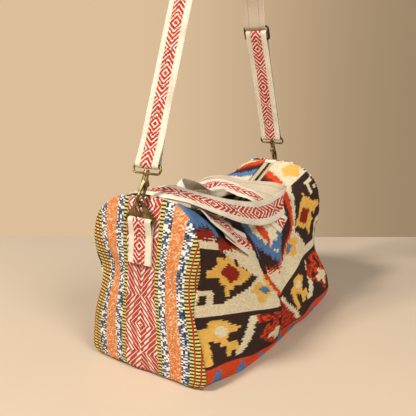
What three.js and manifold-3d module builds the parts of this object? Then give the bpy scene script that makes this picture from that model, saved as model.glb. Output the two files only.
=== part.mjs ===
import * as THREE from "three";
import { mergeVertices } from "three/addons/utils/BufferGeometryUtils.js";
import Module from "manifold-3d";

const wasm = await Module();
wasm.setup();

// Soft woven duffel bag with a detachable shoulder strap, in millimetres.
// X runs along the bag, -Y is the front, +Z is up, and the origin is under the middle of the bag.

// Bag body
const seamHalfLength = 246;
const endLean = 20;
const endHalfWidth = 126;
const endHeight = 305;
const waistHalfWidth = 158;
const waistHeight = 84;
const sagHeight = 220;
const saddleRound = 45;
const foldAt = -28;
const saddleAt = -8;
const farBulge = 34;
const panelThickness = 4;
const endBulge = 14;
const endPinch = 22;
const topLean = 8;
const backCrest = 38;
const gap = 0.4;

// Zip
const zipHalfWidth = 14;
const tapeThickness = 1.4;
const tapeLap = 16;
const teethWidth = 2.4;
const teethHeight = 3;
const teethSplit = 0.9;
const sliderInset = 16;
const sliderTravel = 80;
const sliderLength = 14;
const sliderWidth = 10;
const sliderPlate = 1.6;
const sliderWeb = 1;
const pullLength = 30;
const pullWidth = 8;
const pullThickness = 1.6;

// Webbing
const strapWidth = 47;
const strapThickness = 4;
const anchorLength = 78;
const handleLap = 26;

// End tabs and triangle rings
const tabLayer = 3;
const tabLength = 71;
const ringDrop = 36;
const ringTilt = THREE.MathUtils.degToRad(-2);
const ringThickness = 3;
const ringHalfWidth = 31;
const ringHole = 8;
const ringWall = 4;
const ringSlotTop = 7.4;
const ringPlate = 6;
const ringBar = 2;

// Swivel snap hooks
const strapLean = THREE.MathUtils.degToRad(21);
const jawRadius = 8;
const hookRod = 2.3;
const hookReach = 53;
const stemRadius = 2.5;
const collarRadius = 5;
const bossRadius = 5.5;
const bossHalf = 3.5;
const loopHalfWidth = 27;
const loopHeight = 14;
const loopCorner = 5;
const loopWire = 1.9;
const gateWidth = 4.2;
const gateThickness = 3;
const gatePinRadius = 1.2;

// Shoulder strap
const archRadius = 90;
const sewnLap = 45;
const adjusterAlong = 238;
const adjusterPitch = 13;
const adjusterWire = 2.1;

const colours = {
  kilim: 0x8a3b24,
  stripes: 0xb9653a,
  canvas: 0xe8dfc8,
  tape: 0xe3d8bb,
  brass: 0x96824f,
  darkBrass: 0x4a4030,
};

const bag = new THREE.Group();

function cloth(colour) {
  return new THREE.MeshStandardMaterial({ color: colour, roughness: 0.9, metalness: 0 });
}

function metal(colour) {
  return new THREE.MeshStandardMaterial({ color: colour, roughness: 0.38, metalness: 1 });
}

function addPiece(name, geometry, material, parent = bag) {
  const mesh = new THREE.Mesh(geometry, material);
  mesh.name = name;
  parent.add(mesh);
  return mesh;
}

// Closed solids from points

function signedVolume(points, triangles) {
  let six = 0;
  for (let i = 0; i < triangles.length; i += 3) {
    const [a, b, c] = [0, 1, 2].map((k) => points[triangles[i + k]]);
    six += a.dot(b.clone().cross(c));
  }
  return six / 6;
}

function meshFrom(points, triangles) {
  if (signedVolume(points, triangles) < 0) triangles.reverse();
  const geometry = new THREE.BufferGeometry().setFromPoints(points);
  geometry.setIndex(triangles);
  geometry.computeVertexNormals();
  return geometry;
}

// A sheet between two grids of points with the same rows and columns, closed along its four edges.
function slab(rows, cols, top, bottom) {
  const points = [];
  for (const side of [top, bottom]) {
    for (let i = 0; i < rows; i++) {
      for (let j = 0; j < cols; j++) points.push(side(i / (rows - 1), j / (cols - 1)));
    }
  }
  const layer = rows * cols;
  const triangles = [];
  const quad = (a, b, c, d) => triangles.push(a, b, c, a, c, d);
  for (let i = 0; i < rows - 1; i++) {
    for (let j = 0; j < cols - 1; j++) {
      const a = i * cols + j;
      quad(a, a + 1, a + cols + 1, a + cols);
      quad(layer + a, layer + a + cols, layer + a + cols + 1, layer + a + 1);
    }
  }
  for (let i = 0; i < rows - 1; i++) {
    const left = i * cols;
    const right = left + cols - 1;
    quad(left, left + cols, layer + left + cols, layer + left);
    quad(right, layer + right, layer + right + cols, right + cols);
  }
  for (let j = 0; j < cols - 1; j++) {
    const last = (rows - 1) * cols + j;
    quad(j, layer + j, layer + j + 1, j + 1);
    quad(last, last + 1, layer + last + 1, layer + last);
  }
  return meshFrom(points, triangles);
}

// A solid through rings of points: a closed run joins its last ring to its first, an open one is capped.
function loft(rings, closed) {
  const sides = rings[0].length;
  const points = rings.flat();
  const triangles = [];
  const steps = closed ? rings.length : rings.length - 1;
  for (let i = 0; i < steps; i++) {
    const here = i * sides;
    const next = ((i + 1) % rings.length) * sides;
    for (let j = 0; j < sides; j++) {
      const k = (j + 1) % sides;
      triangles.push(here + j, here + k, next + k, here + j, next + k, next + j);
    }
  }
  if (!closed) {
    const last = (rings.length - 1) * sides;
    for (let j = 1; j < sides - 1; j++) {
      triangles.push(0, j + 1, j, last, last + j, last + j + 1);
    }
  }
  return meshFrom(points, triangles);
}

// Round rod along a flat path of [x, z, radius] knots in the XZ plane.
function rodFlat(knots, sides, closed) {
  const rings = knots.map((knot, i) => {
    const before = knots[closed ? (i + knots.length - 1) % knots.length : Math.max(i - 1, 0)];
    const after = knots[closed ? (i + 1) % knots.length : Math.min(i + 1, knots.length - 1)];
    const along = new THREE.Vector2(after[0] - before[0], after[1] - before[1]).normalize();
    return Array.from({ length: sides }, (_, j) => {
      const turn = (2 * Math.PI * j) / sides;
      const out = knot[2] * Math.cos(turn);
      return new THREE.Vector3(knot[0] - along.y * out, knot[2] * Math.sin(turn), knot[1] + along.x * out);
    });
  });
  return loft(rings, closed);
}

function toSolid(geometry) {
  const bare = new THREE.BufferGeometry();
  bare.setAttribute("position", geometry.getAttribute("position"));
  bare.setIndex(geometry.index);
  const merged = mergeVertices(bare, 1e-4);
  return new wasm.Manifold(new wasm.Mesh({
    numProp: 3,
    vertProperties: new Float32Array(merged.getAttribute("position").array),
    triVerts: new Uint32Array(merged.index.array),
  }));
}

function toGeometry(solid) {
  const mesh = solid.getMesh();
  const geometry = new THREE.BufferGeometry();
  geometry.setAttribute("position", new THREE.BufferAttribute(mesh.vertProperties, 3));
  geometry.setIndex(new THREE.BufferAttribute(mesh.triVerts, 1));
  geometry.computeVertexNormals();
  return geometry;
}

function join(...geometries) {
  return toGeometry(geometries.map(toSolid).reduce((sum, next) => sum.add(next)));
}

function cut(geometry, ...tools) {
  return toGeometry(tools.map(toSolid).reduce((rest, tool) => rest.subtract(tool), toSolid(geometry)));
}

function box(x0, x1, y0, y1, z0, z1) {
  const geometry = new THREE.BoxGeometry(x1 - x0, y1 - y0, z1 - z0);
  return geometry.translate((x0 + x1) / 2, (y0 + y1) / 2, (z0 + z1) / 2);
}

// A turned piece about Z from [radius, height] knots that start and end on the axis.
function turned(knots, sides) {
  const profile = knots.map(([r, z]) => new THREE.Vector2(r, z));
  return new THREE.LatheGeometry(profile, sides).rotateX(Math.PI / 2);
}

function rodAcross(radius, halfLength, x, z, sides) {
  return new THREE.CylinderGeometry(radius, radius, 2 * halfLength, sides).translate(x, 0, z);
}

// A flat outline in the XZ plane, thick along Y.
function plateAcross(outline, halfWidth) {
  const shape = new THREE.Shape(outline);
  const geometry = new THREE.ExtrudeGeometry(shape, { depth: 2 * halfWidth, bevelEnabled: false });
  const turn = new THREE.Matrix4().makeBasis(
    new THREE.Vector3(1, 0, 0), new THREE.Vector3(0, 0, 1), new THREE.Vector3(0, -1, 0));
  return geometry.applyMatrix4(turn).translate(0, halfWidth, 0);
}

// A band of cloth whose edge follows a flat line, as wide as the webbing.
function ribbon(line, thickness) {
  const sides = [[], []];
  line.forEach((point, i) => {
    const along = line[Math.min(i + 1, line.length - 1)].clone().sub(line[Math.max(i - 1, 0)]).normalize();
    const out = new THREE.Vector2(-along.y, along.x).multiplyScalar(thickness / 2);
    sides[0].push(point.clone().add(out));
    sides[1].push(point.clone().sub(out));
  });
  return plateAcross([...sides[0], ...sides[1].reverse()], strapWidth / 2);
}

function arcLine(centre, radius, from, to, steps) {
  return Array.from({ length: steps + 1 }, (_, i) => {
    const angle = from + ((to - from) * i) / steps;
    return new THREE.Vector2(centre.x + radius * Math.cos(angle), centre.y + radius * Math.sin(angle));
  });
}

const lerp = THREE.MathUtils.lerp;

// Bag cross-sections: half width against height, from under the middle round to the zip.
// Knot 4 of both is the cream stripe, which folds into the waist at mid-length.
const endSection = new THREE.SplineCurve([
  [0, 0],
  [endHalfWidth - 14, 0],
  [endHalfWidth - 2, 10],
  [endHalfWidth - 9, 0.23 * endHeight],
  [endHalfWidth - endPinch, 0.43 * endHeight],
  [endHalfWidth - 12, 0.66 * endHeight],
  [endHalfWidth - 23, endHeight - 43],
  [endHalfWidth - 62, endHeight - 6],
  [zipHalfWidth, endHeight],
].map(([y, z]) => new THREE.Vector2(y, z)));

const waistSection = new THREE.SplineCurve([
  [0, 0],
  [waistHalfWidth - 22, 0],
  [waistHalfWidth - 8, 10],
  [waistHalfWidth, 0.57 * waistHeight],
  [waistHalfWidth - 4, waistHeight],
  [waistHalfWidth - 34, lerp(waistHeight, sagHeight, 0.42)],
  [waistHalfWidth - 66, sagHeight - 26],
  [waistHalfWidth - 108, sagHeight],
  [zipHalfWidth, sagHeight],
].map(([y, z]) => new THREE.Vector2(y, z)));

// Smooth tent: 0 at the fold, 1 at the reach, with a rounded peak.
function tent(x, reach, round) {
  return (Math.hypot(x, round) - round) / (Math.hypot(reach, round) - round);
}

// The base bows gently, the waist fold is sharp, and the saddle is round.
function tentRound(v) {
  const low = THREE.MathUtils.smoothstep(v, 0.2, 0.5);
  const high = Math.max(0, v - 0.5) / 0.5;
  return lerp(lerp(300, 18, low), saddleRound, high);
}

function halfLengthAt(v) {
  return seamHalfLength - (endLean * endSection.getPoint(v).y) / endHeight;
}

// The fold runs up the front a little to the left of the lowest point of the saddle.
function foldLine(v) {
  return lerp(foldAt, saddleAt, THREE.MathUtils.smoothstep(v, 0.5, 1));
}

// The cloth below the fold slumps outwards towards the far end.
function slump(u, v) {
  const along = THREE.MathUtils.smoothstep(u, -0.2, 0.75) * (1 - THREE.MathUtils.smoothstep(u, 0.8, 1));
  const round = THREE.MathUtils.smoothstep(v, 0.15, 0.32) * (1 - THREE.MathUtils.smoothstep(v, 0.34, 0.56));
  return farBulge * along * round;
}

// The shoulders lean over, the left end's to the back and the right end's to the front.
function shoulderLean(v) {
  return topLean * THREE.MathUtils.smoothstep(v, 0.25, 0.55) * (1 - THREE.MathUtils.smoothstep(v, 0.75, 0.97));
}

// Towards the far end the back stands up in a crest beside the zip.
function crest(u, v) {
  const along = THREE.MathUtils.smoothstep(u, 0.29, 0.5) * (1 - THREE.MathUtils.smoothstep(u, 0.35, 0.9));
  const round = THREE.MathUtils.smoothstep(-v, 0.45, 0.8) * (1 - THREE.MathUtils.smoothstep(-v, 0.8, 0.945));
  return backCrest * along * round;
}

// Outer skin of the body: u runs -1 to 1 along the bag, v from -1 (back zip edge) to 1 (front zip edge).
// inset moves the point inwards in its own cross-section.
function bodyPoint(u, v, inset = 0) {
  const turn = Math.min(Math.abs(v), 1);
  const reach = halfLengthAt(turn);
  const x = u * reach;
  const fold = foldLine(turn);
  const fromFold = x - fold;
  const blend = tent(fromFold, reach - Math.sign(fromFold) * fold, tentRound(turn));
  const at = (t) => waistSection.getPoint(t).lerp(endSection.getPoint(t), blend);
  const step = 0.01;
  const along = at(Math.min(turn + step, 1)).sub(at(Math.max(turn - step, 0))).normalize();
  const point = at(turn);
  const spread = slump(u, turn) + u * Math.sign(v) * shoulderLean(turn);
  const half = Math.max(point.x + spread - inset * along.y, 0);
  const height = Math.max(point.y, 0) + crest(u, v) + inset * along.x;
  return new THREE.Vector3(x, -Math.sign(v) * half, height);
}

// The panel wraps front, floor and back in one length of cloth, and stops at the zip on both sides.
const bodyRows = 25;
const bodyCols = 41;
addPiece("body_panel", slab(bodyRows, bodyCols,
  (i, j) => bodyPoint(2 * i - 1, 2 * j - 1),
  (i, j) => bodyPoint(2 * i - 1, 2 * j - 1, panelThickness)), cloth(colours.kilim));

// End panels: a puffed arch, across = -1 to 1 between the seams, rise = 0 at the floor to 1 at the top.
const floorCorner = 0.19;
function endSkin(across, rise, depth) {
  const turn = lerp(floorCorner, 1, rise);
  const seam = endSection.getPoint(turn);
  const height = THREE.MathUtils.clamp(seam.y, 0, endHeight);
  const share = height / endHeight;
  const puff = endBulge * (1 - across ** 4) * Math.max(4 * share * (1 - share), 0) ** 0.45;
  const x = seamHalfLength - endLean * share + gap + depth + puff;
  return new THREE.Vector3(-x, across * seam.x + shoulderLean(turn), height);
}

// Distance of the puffed skin from mid-length, on the bag's centre plane.
function endSkinX(height) {
  const share = height / endHeight;
  const puff = endBulge * Math.max(4 * share * (1 - share), 0) ** 0.45;
  return -(seamHalfLength - endLean * share + gap + panelThickness + puff);
}

const endPanel = slab(15, 13,
  (i, j) => endSkin(2 * j - 1, i, panelThickness),
  (i, j) => endSkin(2 * j - 1, i, 0));

// Zip: each tape is sewn under its panel edge and carries its own row of teeth.
const zipHalfLength = halfLengthAt(1) - 4;
const sliderStart = sliderInset - zipHalfLength;
function zipHeight(x) {
  return bodyPoint(x / halfLengthAt(1), 1, panelThickness + gap).z;
}

function tapePoint(side, along, edge, depth) {
  const x = (2 * along - 1) * zipHalfLength;
  const u = x / halfLengthAt(1);
  const inner = teethSplit + teethWidth + gap;
  const drop = panelThickness + 1.5 * gap + depth;
  const zipEdge = bodyPoint(u, side, drop);
  if (edge > 0.5) {
    const lap = bodyPoint(u, side * (1 - (tapeLap / 300) * (edge - 0.5) * 2), drop);
    return new THREE.Vector3(x, lap.y, lap.z);
  }
  const y = lerp(-side * inner, zipEdge.y, edge * 2);
  return new THREE.Vector3(x, y, zipHeight(x) - depth);
}

function teethPoint(side, along, edge, depth) {
  const x = (2 * along - 1) * zipHalfLength;
  const y = -side * (teethSplit + edge * teethWidth);
  return new THREE.Vector3(x, y, zipHeight(x) - tapeThickness / 2 + teethHeight / 2 - depth);
}

for (const [name, side] of [["front", 1], ["back", -1]]) {
  addPiece(`zip_tape_${name}`, slab(21, 5,
    (i, j) => tapePoint(side, i, j, 0),
    (i, j) => tapePoint(side, i, j, tapeThickness)), cloth(colours.tape));
  addPiece(`zip_teeth_${name}`, slab(21, 2,
    (i, j) => teethPoint(side, i, j, 0),
    (i, j) => teethPoint(side, i, j, teethHeight)), metal(colours.brass));
}

// Slider: two plates joined by a thin web that parts the teeth, with a bail for the pull on top.
const zipSlope = Math.atan2(
  zipHeight(sliderStart + sliderTravel) - zipHeight(sliderStart), sliderTravel);
const sliderGroup = new THREE.Group();
sliderGroup.position.set(sliderStart, 0, zipHeight(sliderStart) - tapeThickness / 2);
sliderGroup.rotation.y = -zipSlope;
bag.add(sliderGroup);

const plateLow = teethHeight / 2 + 2 * gap;
const plateHigh = plateLow + sliderPlate;
const bailHeight = 5;
const bailWire = 1.1;
const bailAt = plateHigh + bailHeight / 2;
const bail = rodFlat([
  [-4, plateHigh - 0.6, bailWire],
  [-4, bailAt, bailWire],
  [-2.6, plateHigh + bailHeight, bailWire],
  [2.6, plateHigh + bailHeight, bailWire],
  [4, bailAt, bailWire],
  [4, plateHigh - 0.6, bailWire],
], 8, false);
addPiece("zip_slider", join(
  box(-sliderLength / 2, sliderLength / 2, -sliderWidth / 2, sliderWidth / 2, plateLow, plateHigh),
  box(-sliderLength / 2, sliderLength / 2, -sliderWidth / 2, sliderWidth / 2, -plateHigh, -plateLow),
  box(-sliderLength / 2, sliderLength / 2, -sliderWeb / 2, sliderWeb / 2, -plateHigh + 0.2, plateHigh - 0.2),
  bail), metal(colours.brass), sliderGroup);

// Pull: a leaf with a window at each end, lying down the slope with the bail in its first window.
const pullHinge = 2.4;
const pullRest = plateHigh + gap + pullThickness / 2;
const pullLeaf = new THREE.Shape();
pullLeaf.moveTo(-1.2, -pullWidth / 2);
pullLeaf.lineTo(pullLength - pullWidth / 2, -pullWidth / 2);
pullLeaf.absarc(pullLength - pullWidth / 2, 0, pullWidth / 2, -Math.PI / 2, Math.PI / 2);
pullLeaf.lineTo(-1.2, pullWidth / 2);
const bailWindow = new THREE.Path();
bailWindow.moveTo(0.6, -2);
bailWindow.lineTo(0.6, 2);
bailWindow.lineTo(5.4, 2);
bailWindow.lineTo(5.4, -2);
const fingerWindow = new THREE.Path();
fingerWindow.absarc(pullLength - pullWidth / 2, 0, pullWidth / 4, 0, 2 * Math.PI);
pullLeaf.holes.push(bailWindow, fingerWindow);
const pull = new THREE.ExtrudeGeometry(pullLeaf, {
  depth: pullThickness, bevelEnabled: false, curveSegments: 8,
});
pull.translate(pullHinge - 1.4, 0, pullRest - pullThickness / 2);
addPiece("zip_pull", pull, metal(colours.brass), sliderGroup);

// Handles: webbing along hand-placed knots, each a centre and the direction of its upper edge.
// A seat knot lies flat on the body at (u, v), with the webbing heading (du, dv) across it.
// It stands clear by a little where the cloth is nearly flat and by more where it curves under the webbing.
const flatStand = 0.52;
const bentStand = 1.28;
const hollowStand = 2.25;
function seat(u, v, du, dv, stand) {
  const step = 0.01;
  const lift = strapThickness / 2 + stand;
  const here = bodyPoint(u, v);
  const alongU = bodyPoint(u + step, v).sub(here);
  const alongV = bodyPoint(u, v + step).sub(here);
  const out = alongU.clone().cross(alongV).normalize();
  const heading = alongU.multiplyScalar(du).addScaledVector(alongV, dv).normalize();
  const upper = heading.clone().cross(out).multiplyScalar(Math.sign(v));
  const centre = here.addScaledVector(out, lift);
  return [centre.toArray(), upper.toArray()];
}

// A free knot is placed by shares of the bag's half length, half width and height.
function over(along, across, up) {
  return [along * seamHalfLength, across * endHalfWidth, up * endHeight];
}

const frontKnots = [
  seat(-0.32, 0.725, -1, 0.2, flatStand),
  seat(-0.48, 0.755, -1, 0.2, flatStand),
  seat(-0.64, 0.8, -1, 0.45, flatStand),
  [over(-0.6748, -0.4365, 0.9246), [0.79, 0.59, -0.15]],
  [over(-0.687, -0.1349, 0.9672), [0.97, 0, -0.02]],
  [over(-0.6016, 0.0952, 0.9869), [0.5, -0.65, 0.5]],
  [over(-0.4472, 0.1746, 0.9574), [0.1, -0.4, 0.9]],
  [over(-0.2927, 0.1905, 0.9344), [-0.1, -0.7, 0.65]],
  [over(-0.1463, 0.1587, 0.9246), [-0.15, -0.93, -0.1]],
  [over(-0.0325, 0.1111, 0.9311), [-0.52, -0.76, -0.2]],
  [over(0.0569, 0.0159, 0.9246), [-0.75, -0.6, -0.25]],
  [over(0.0976, -0.2063, 0.8918), [-0.9, -0.4, -0.25]],
  [over(0.1463, -0.4286, 0.8393), [-0.95, -0.25, -0.15]],
  [over(0.1992, -0.619, 0.7705), [-0.96, -0.15, -0.2]],
  seat(0.26, 0.76, 0.4, -1, bentStand),
  seat(0.295, 0.715, 0.3, -1, bentStand),
];

const backKnots = [
  seat(-0.32, -0.725, -1, -0.2, flatStand),
  seat(-0.5, -0.76, -1, -0.2, flatStand),
  seat(-0.66, -0.8, -1, -0.45, flatStand),
  [over(-0.7561, 0.381, 0.977), [0.85, -0.4, 0]],
  [over(-0.7927, 0.0159, 1.0131), [0.95, 0.05, 0.15]],
  [over(-0.7602, -0.3175, 1), [0.6, 0.72, 0.3]],
  [over(-0.6098, -0.5794, 0.9377), [0.35, 0.75, 0.55]],
  [over(-0.374, -0.6905, 0.8623), [0.25, 0.6, 0.75]],
  [over(-0.1138, -0.7698, 0.8066), [0.22, 0.45, 0.86]],
  [over(0.1463, -0.8016, 0.7967), [0.25, 0.35, 0.9]],
  [over(0.2967, -0.8016, 0.8262), [0.3, 0.1, 0.95]],
  [over(0.386, -0.6, 0.85), [0.7, -0.2, 0.66]],
  [over(0.355, -0.33, 0.872), [0.88, 0.05, 0.42]],
  [over(0.28, -0.02, 0.882), [0.75, 0.45, 0.45]],
  [over(0.21, 0.28, 0.88), [0.2, 0.45, 0.85]],
  [over(0.18, 0.56, 0.83), [-0.6, 0.5, 0.55]],
  seat(0.185, -0.765, 0.15, 1, hollowStand),
  seat(0.2, -0.71, 0.15, 1, hollowStand),
];

// Straight-section webbing between two lengths along the knots, raised off its line where it laps a layer.
function webbing(knots, from, to, raise) {
  const line = new THREE.CatmullRomCurve3(knots.map(([at]) => new THREE.Vector3(...at)));
  const edge = new THREE.CatmullRomCurve3(knots.map(([, up]) => new THREE.Vector3(...up)));
  const length = line.getLength();
  const start = from < 0 ? length + from : from;
  const end = to <= 0 ? length + to : to;
  const steps = Math.round((end - start) / (handleLap / 2));
  const at = (part, share, face) => {
    const run = lerp(start, end, part);
    const t = line.getUtoTmapping(0, run);
    const along = line.getTangent(t);
    const up = edge.getPoint(t);
    up.addScaledVector(along, -up.dot(along)).normalize();
    const out = along.clone().cross(up);
    return line.getPoint(t)
      .addScaledVector(up, (share - 0.5) * strapWidth)
      .addScaledVector(out, raise(run, length) + (face * strapThickness) / 2);
  };
  return slab(steps + 1, 3, (i, j) => at(i, j, 1), (i, j) => at(i, j, -1));
}

// The handle laps over the outer end of each anchor and eases back to its line.
const lapStep = strapThickness + 2 * gap;
function lapRaise(run, length) {
  const fromEnd = Math.min(run, length - run);
  return lapStep * (1 - THREE.MathUtils.smoothstep(fromEnd, anchorLength + 9, anchorLength + 38));
}

for (const [name, knots, faceOut] of [["front", frontKnots, -1], ["back", backKnots, 1]]) {
  const canvas = () => cloth(colours.canvas);
  const level = () => 0;
  const raised = (run, length) => faceOut * lapRaise(run, length);
  addPiece(`${name}_handle_anchor_left`, webbing(knots, 0, anchorLength, level), canvas());
  addPiece(`${name}_handle_anchor_right`, webbing(knots, -anchorLength, 0, level), canvas());
  addPiece(`${name}_handle`,
    webbing(knots, anchorLength - handleLap, handleLap - anchorLength, raised), canvas());
}

// End hardware, built at the left end; the right end is the same turned half way round.

const ringBarHeight = endHeight - ringDrop;
const tabBottom = ringBarHeight - tabLength;

// Tab: webbing folded over the ring's bar, its two layers sewn flat to the end panel.
const barHole = ringBar + 1;
const barAway = gap + tabLayer + barHole;
const barX = endSkinX(ringBarHeight) - barAway;
const bar = new THREE.Vector2(barX, ringBarHeight);
const foldRadius = barHole + tabLayer / 2;
function tabLine(layerOut) {
  const heights = [0, 0.2, 0.4, 0.6, 0.8, 1].map((t) => lerp(tabBottom, ringBarHeight - 24, t));
  return heights.map((z) => new THREE.Vector2(endSkinX(z) - gap - layerOut, z));
}
const backLayer = tabLayer / 2;
const frontLayer = 1.5 * tabLayer - 0.2;
const tab = join(
  ribbon([...tabLine(backLayer), ...arcLine(bar, foldRadius, 0, Math.PI, 10)], tabLayer),
  ribbon([...tabLine(frontLayer), ...arcLine(bar, foldRadius, Math.PI, 0.8 * Math.PI, 2)], tabLayer));

// Triangle ring: a plate with a slot over its bar and a round eye near its tip.
const eyeAt = ringSlotTop + ringPlate + ringHole;
const eyeWall = ringHole + ringWall;
const legLean = Math.atan2(ringHalfWidth - eyeWall * 0.9, eyeAt);
const ringOutline = new THREE.Shape();
ringOutline.moveTo(0, -ringBar);
ringOutline.lineTo(ringHalfWidth - 2, -ringBar);
ringOutline.quadraticCurveTo(ringHalfWidth + 0.4, -ringBar, ringHalfWidth, ringBar);
ringOutline.absarc(0, eyeAt, eyeWall, legLean, Math.PI - legLean);
ringOutline.lineTo(-ringHalfWidth, ringBar);
ringOutline.quadraticCurveTo(-ringHalfWidth - 0.4, -ringBar, -ringHalfWidth + 2, -ringBar);
const slotHalf = strapWidth / 2 + 0.6;
const slotOutline = new THREE.Shape([
  [-slotHalf, ringBar], [slotHalf, ringBar], [slotHalf, ringSlotTop], [-slotHalf, ringSlotTop],
].map(([y, z]) => new THREE.Vector2(y, z)));
const eyeOutline = new THREE.Shape().absarc(0, eyeAt, ringHole, 0, 2 * Math.PI);
function ringPlateFrom(shape, thickness) {
  const plate = new THREE.ExtrudeGeometry(shape, { depth: thickness, bevelEnabled: false, curveSegments: 14 });
  return plate.translate(0, 0, -thickness / 2);
}
const ring = cut(
  ringPlateFrom(ringOutline, ringThickness),
  ringPlateFrom(slotOutline, ringThickness + 2),
  ringPlateFrom(eyeOutline, ringThickness + 2));
ring.applyMatrix4(new THREE.Matrix4().makeBasis(
  new THREE.Vector3(0, 1, 0), new THREE.Vector3(0, 0, 1), new THREE.Vector3(1, 0, 0)));

// Hook, with its jaw in the eye: x is towards the bag's middle, z runs up the strap from the jaw's bottom.
const jawLift = ringHole - hookRod - 6 * gap;
const hookSeat = new THREE.Vector3(
  barX + (eyeAt + jawLift) * Math.sin(ringTilt), 0,
  ringBarHeight + (eyeAt + jawLift) * Math.cos(ringTilt));
const tipRod = hookRod - 0.3;
const jawKnots = Array.from({ length: 9 }, (_, i) => {
  const angle = -(Math.PI * i) / 8;
  return [jawRadius * Math.cos(angle), jawRadius + jawRadius * Math.sin(angle), lerp(tipRod, hookRod, i / 8)];
});
const collarBase = hookReach - bossHalf - gap - 8;
const stemTop = hookReach + bossHalf + gap;
const stem = turned([
  [0, collarBase - 3],
  [3.4, collarBase - 3],
  [collarRadius, collarBase],
  [collarRadius, collarBase + 7],
  [collarRadius - 1, collarBase + 8],
  [stemRadius, collarBase + 8],
  [stemRadius, stemTop],
  [stemRadius + 1.9, stemTop],
  [stemRadius + 1.4, stemTop + 2],
  [0, stemTop + 2.4],
], 16);
const hookRodBody = rodFlat([
  [jawRadius, jawRadius + 6, tipRod - 0.5],
  [jawRadius, jawRadius + 5, tipRod],
  ...jawKnots,
  [-jawRadius, jawRadius + 8, hookRod + 0.4],
  [-jawRadius + 1.6, jawRadius + 16, hookRod + 0.9],
  [-jawRadius + 5.5, collarBase - 5, hookRod + 1.3],
  [0, collarBase + 2, hookRod + 1.5],
], 12, false);
const pinX = 5.4;
const pinZ = collarBase - 6;
const cheekIn = gateWidth / 2 + gap;
const cheekOut = cheekIn + 1.8;
const cheekOutline = [
  [-3, collarBase + 2], [-3, pinZ - 2], [pinX, pinZ - 3.4], [pinX + 3.4, pinZ],
  [pinX + 2, pinZ + 3.4], [collarRadius - 1, collarBase + 2],
].map(([x, z]) => new THREE.Vector2(x, z));
const cheek = plateAcross(cheekOutline, cheekOut);
const cheekSlot = box(pinX - 4.6, pinX + 6, -cheekIn, cheekIn, pinZ - 6, pinZ + 3.8);
const pinHole = rodAcross(gatePinRadius + 0.3, cheekOut + 2, pinX, pinZ, 12);
const hook = join(hookRodBody, stem, cut(cheek, cheekSlot, pinHole));

// Gate: a lever on its pin, its free end behind the tip of the jaw.
const gateEnd = jawRadius + 3.6;
const gateInner = jawRadius - tipRod - gap - gateThickness;
const gateOutline = [
  [pinX - 2.6, pinZ - 1], [gateInner, gateEnd + 4], [gateInner, gateEnd],
  [gateInner + gateThickness, gateEnd], [gateInner + gateThickness, gateEnd + 5],
  [pinX + 2.6, pinZ - 1],
].map(([x, z]) => new THREE.Vector2(x, z));
const gate = cut(
  join(plateAcross(gateOutline, gateWidth / 2), rodAcross(2.8, gateWidth / 2, pinX, pinZ, 16)),
  rodAcross(gatePinRadius + 0.3, gateWidth, pinX, pinZ, 12));
const gatePin = rodAcross(gatePinRadius, cheekOut, pinX, pinZ, 12);

// Swivel loop: a rounded wire frame for the webbing, with the boss that the stem turns in.
function roundedFrame(halfWidth, low, high, corner, wire) {
  const corners = [[1, low, -0.5], [1, high, 0], [-1, high, 0.5], [-1, low, 1]];
  const knots = corners.flatMap(([side, edge, turn]) => {
    const y = side * (halfWidth - corner);
    const z = edge + (edge === low ? corner : -corner);
    return [0, 0.25, 0.5].map((part) => {
      const angle = (turn + part) * Math.PI;
      return [y + corner * Math.cos(angle), z + corner * Math.sin(angle), wire];
    });
  });
  return rodFlat(knots, 10, true).rotateZ(Math.PI / 2);
}
const boss = turned([
  [0, hookReach - bossHalf], [bossRadius - 1, hookReach - bossHalf], [bossRadius, hookReach - 1],
  [bossRadius, hookReach + 1], [bossRadius - 1, hookReach + bossHalf], [0, hookReach + bossHalf],
], 16);
const stemBore = new THREE.CylinderGeometry(stemRadius + gap, stemRadius + gap, 30, 16)
  .rotateX(Math.PI / 2).translate(0, 0, hookReach);
const swivelLoop = cut(join(
  roundedFrame(loopHalfWidth, hookReach, hookReach + loopHeight, loopCorner, loopWire), boss), stemBore);

for (const [name, turn] of [["left", 0], ["right", Math.PI]]) {
  const end = new THREE.Group();
  end.rotation.z = turn;
  bag.add(end);
  const ringSeat = new THREE.Group();
  ringSeat.position.set(barX, 0, ringBarHeight);
  ringSeat.rotation.y = ringTilt;
  const strapSeat = new THREE.Group();
  strapSeat.position.copy(hookSeat);
  strapSeat.rotation.y = strapLean;
  end.add(ringSeat, strapSeat);
  addPiece(`${name}_end_panel`, endPanel, cloth(colours.stripes), end);
  addPiece(`${name}_tab`, tab, cloth(colours.canvas), end);
  addPiece(`${name}_triangle_ring`, ring, metal(colours.brass), ringSeat);
  addPiece(`${name}_hook`, hook, metal(colours.brass), strapSeat);
  addPiece(`${name}_hook_gate`, gate, metal(colours.brass), strapSeat);
  addPiece(`${name}_gate_pin`, gatePin, metal(colours.darkBrass), strapSeat);
  addPiece(`${name}_swivel_loop`, swivelLoop, metal(colours.brass), strapSeat);
}

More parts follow.
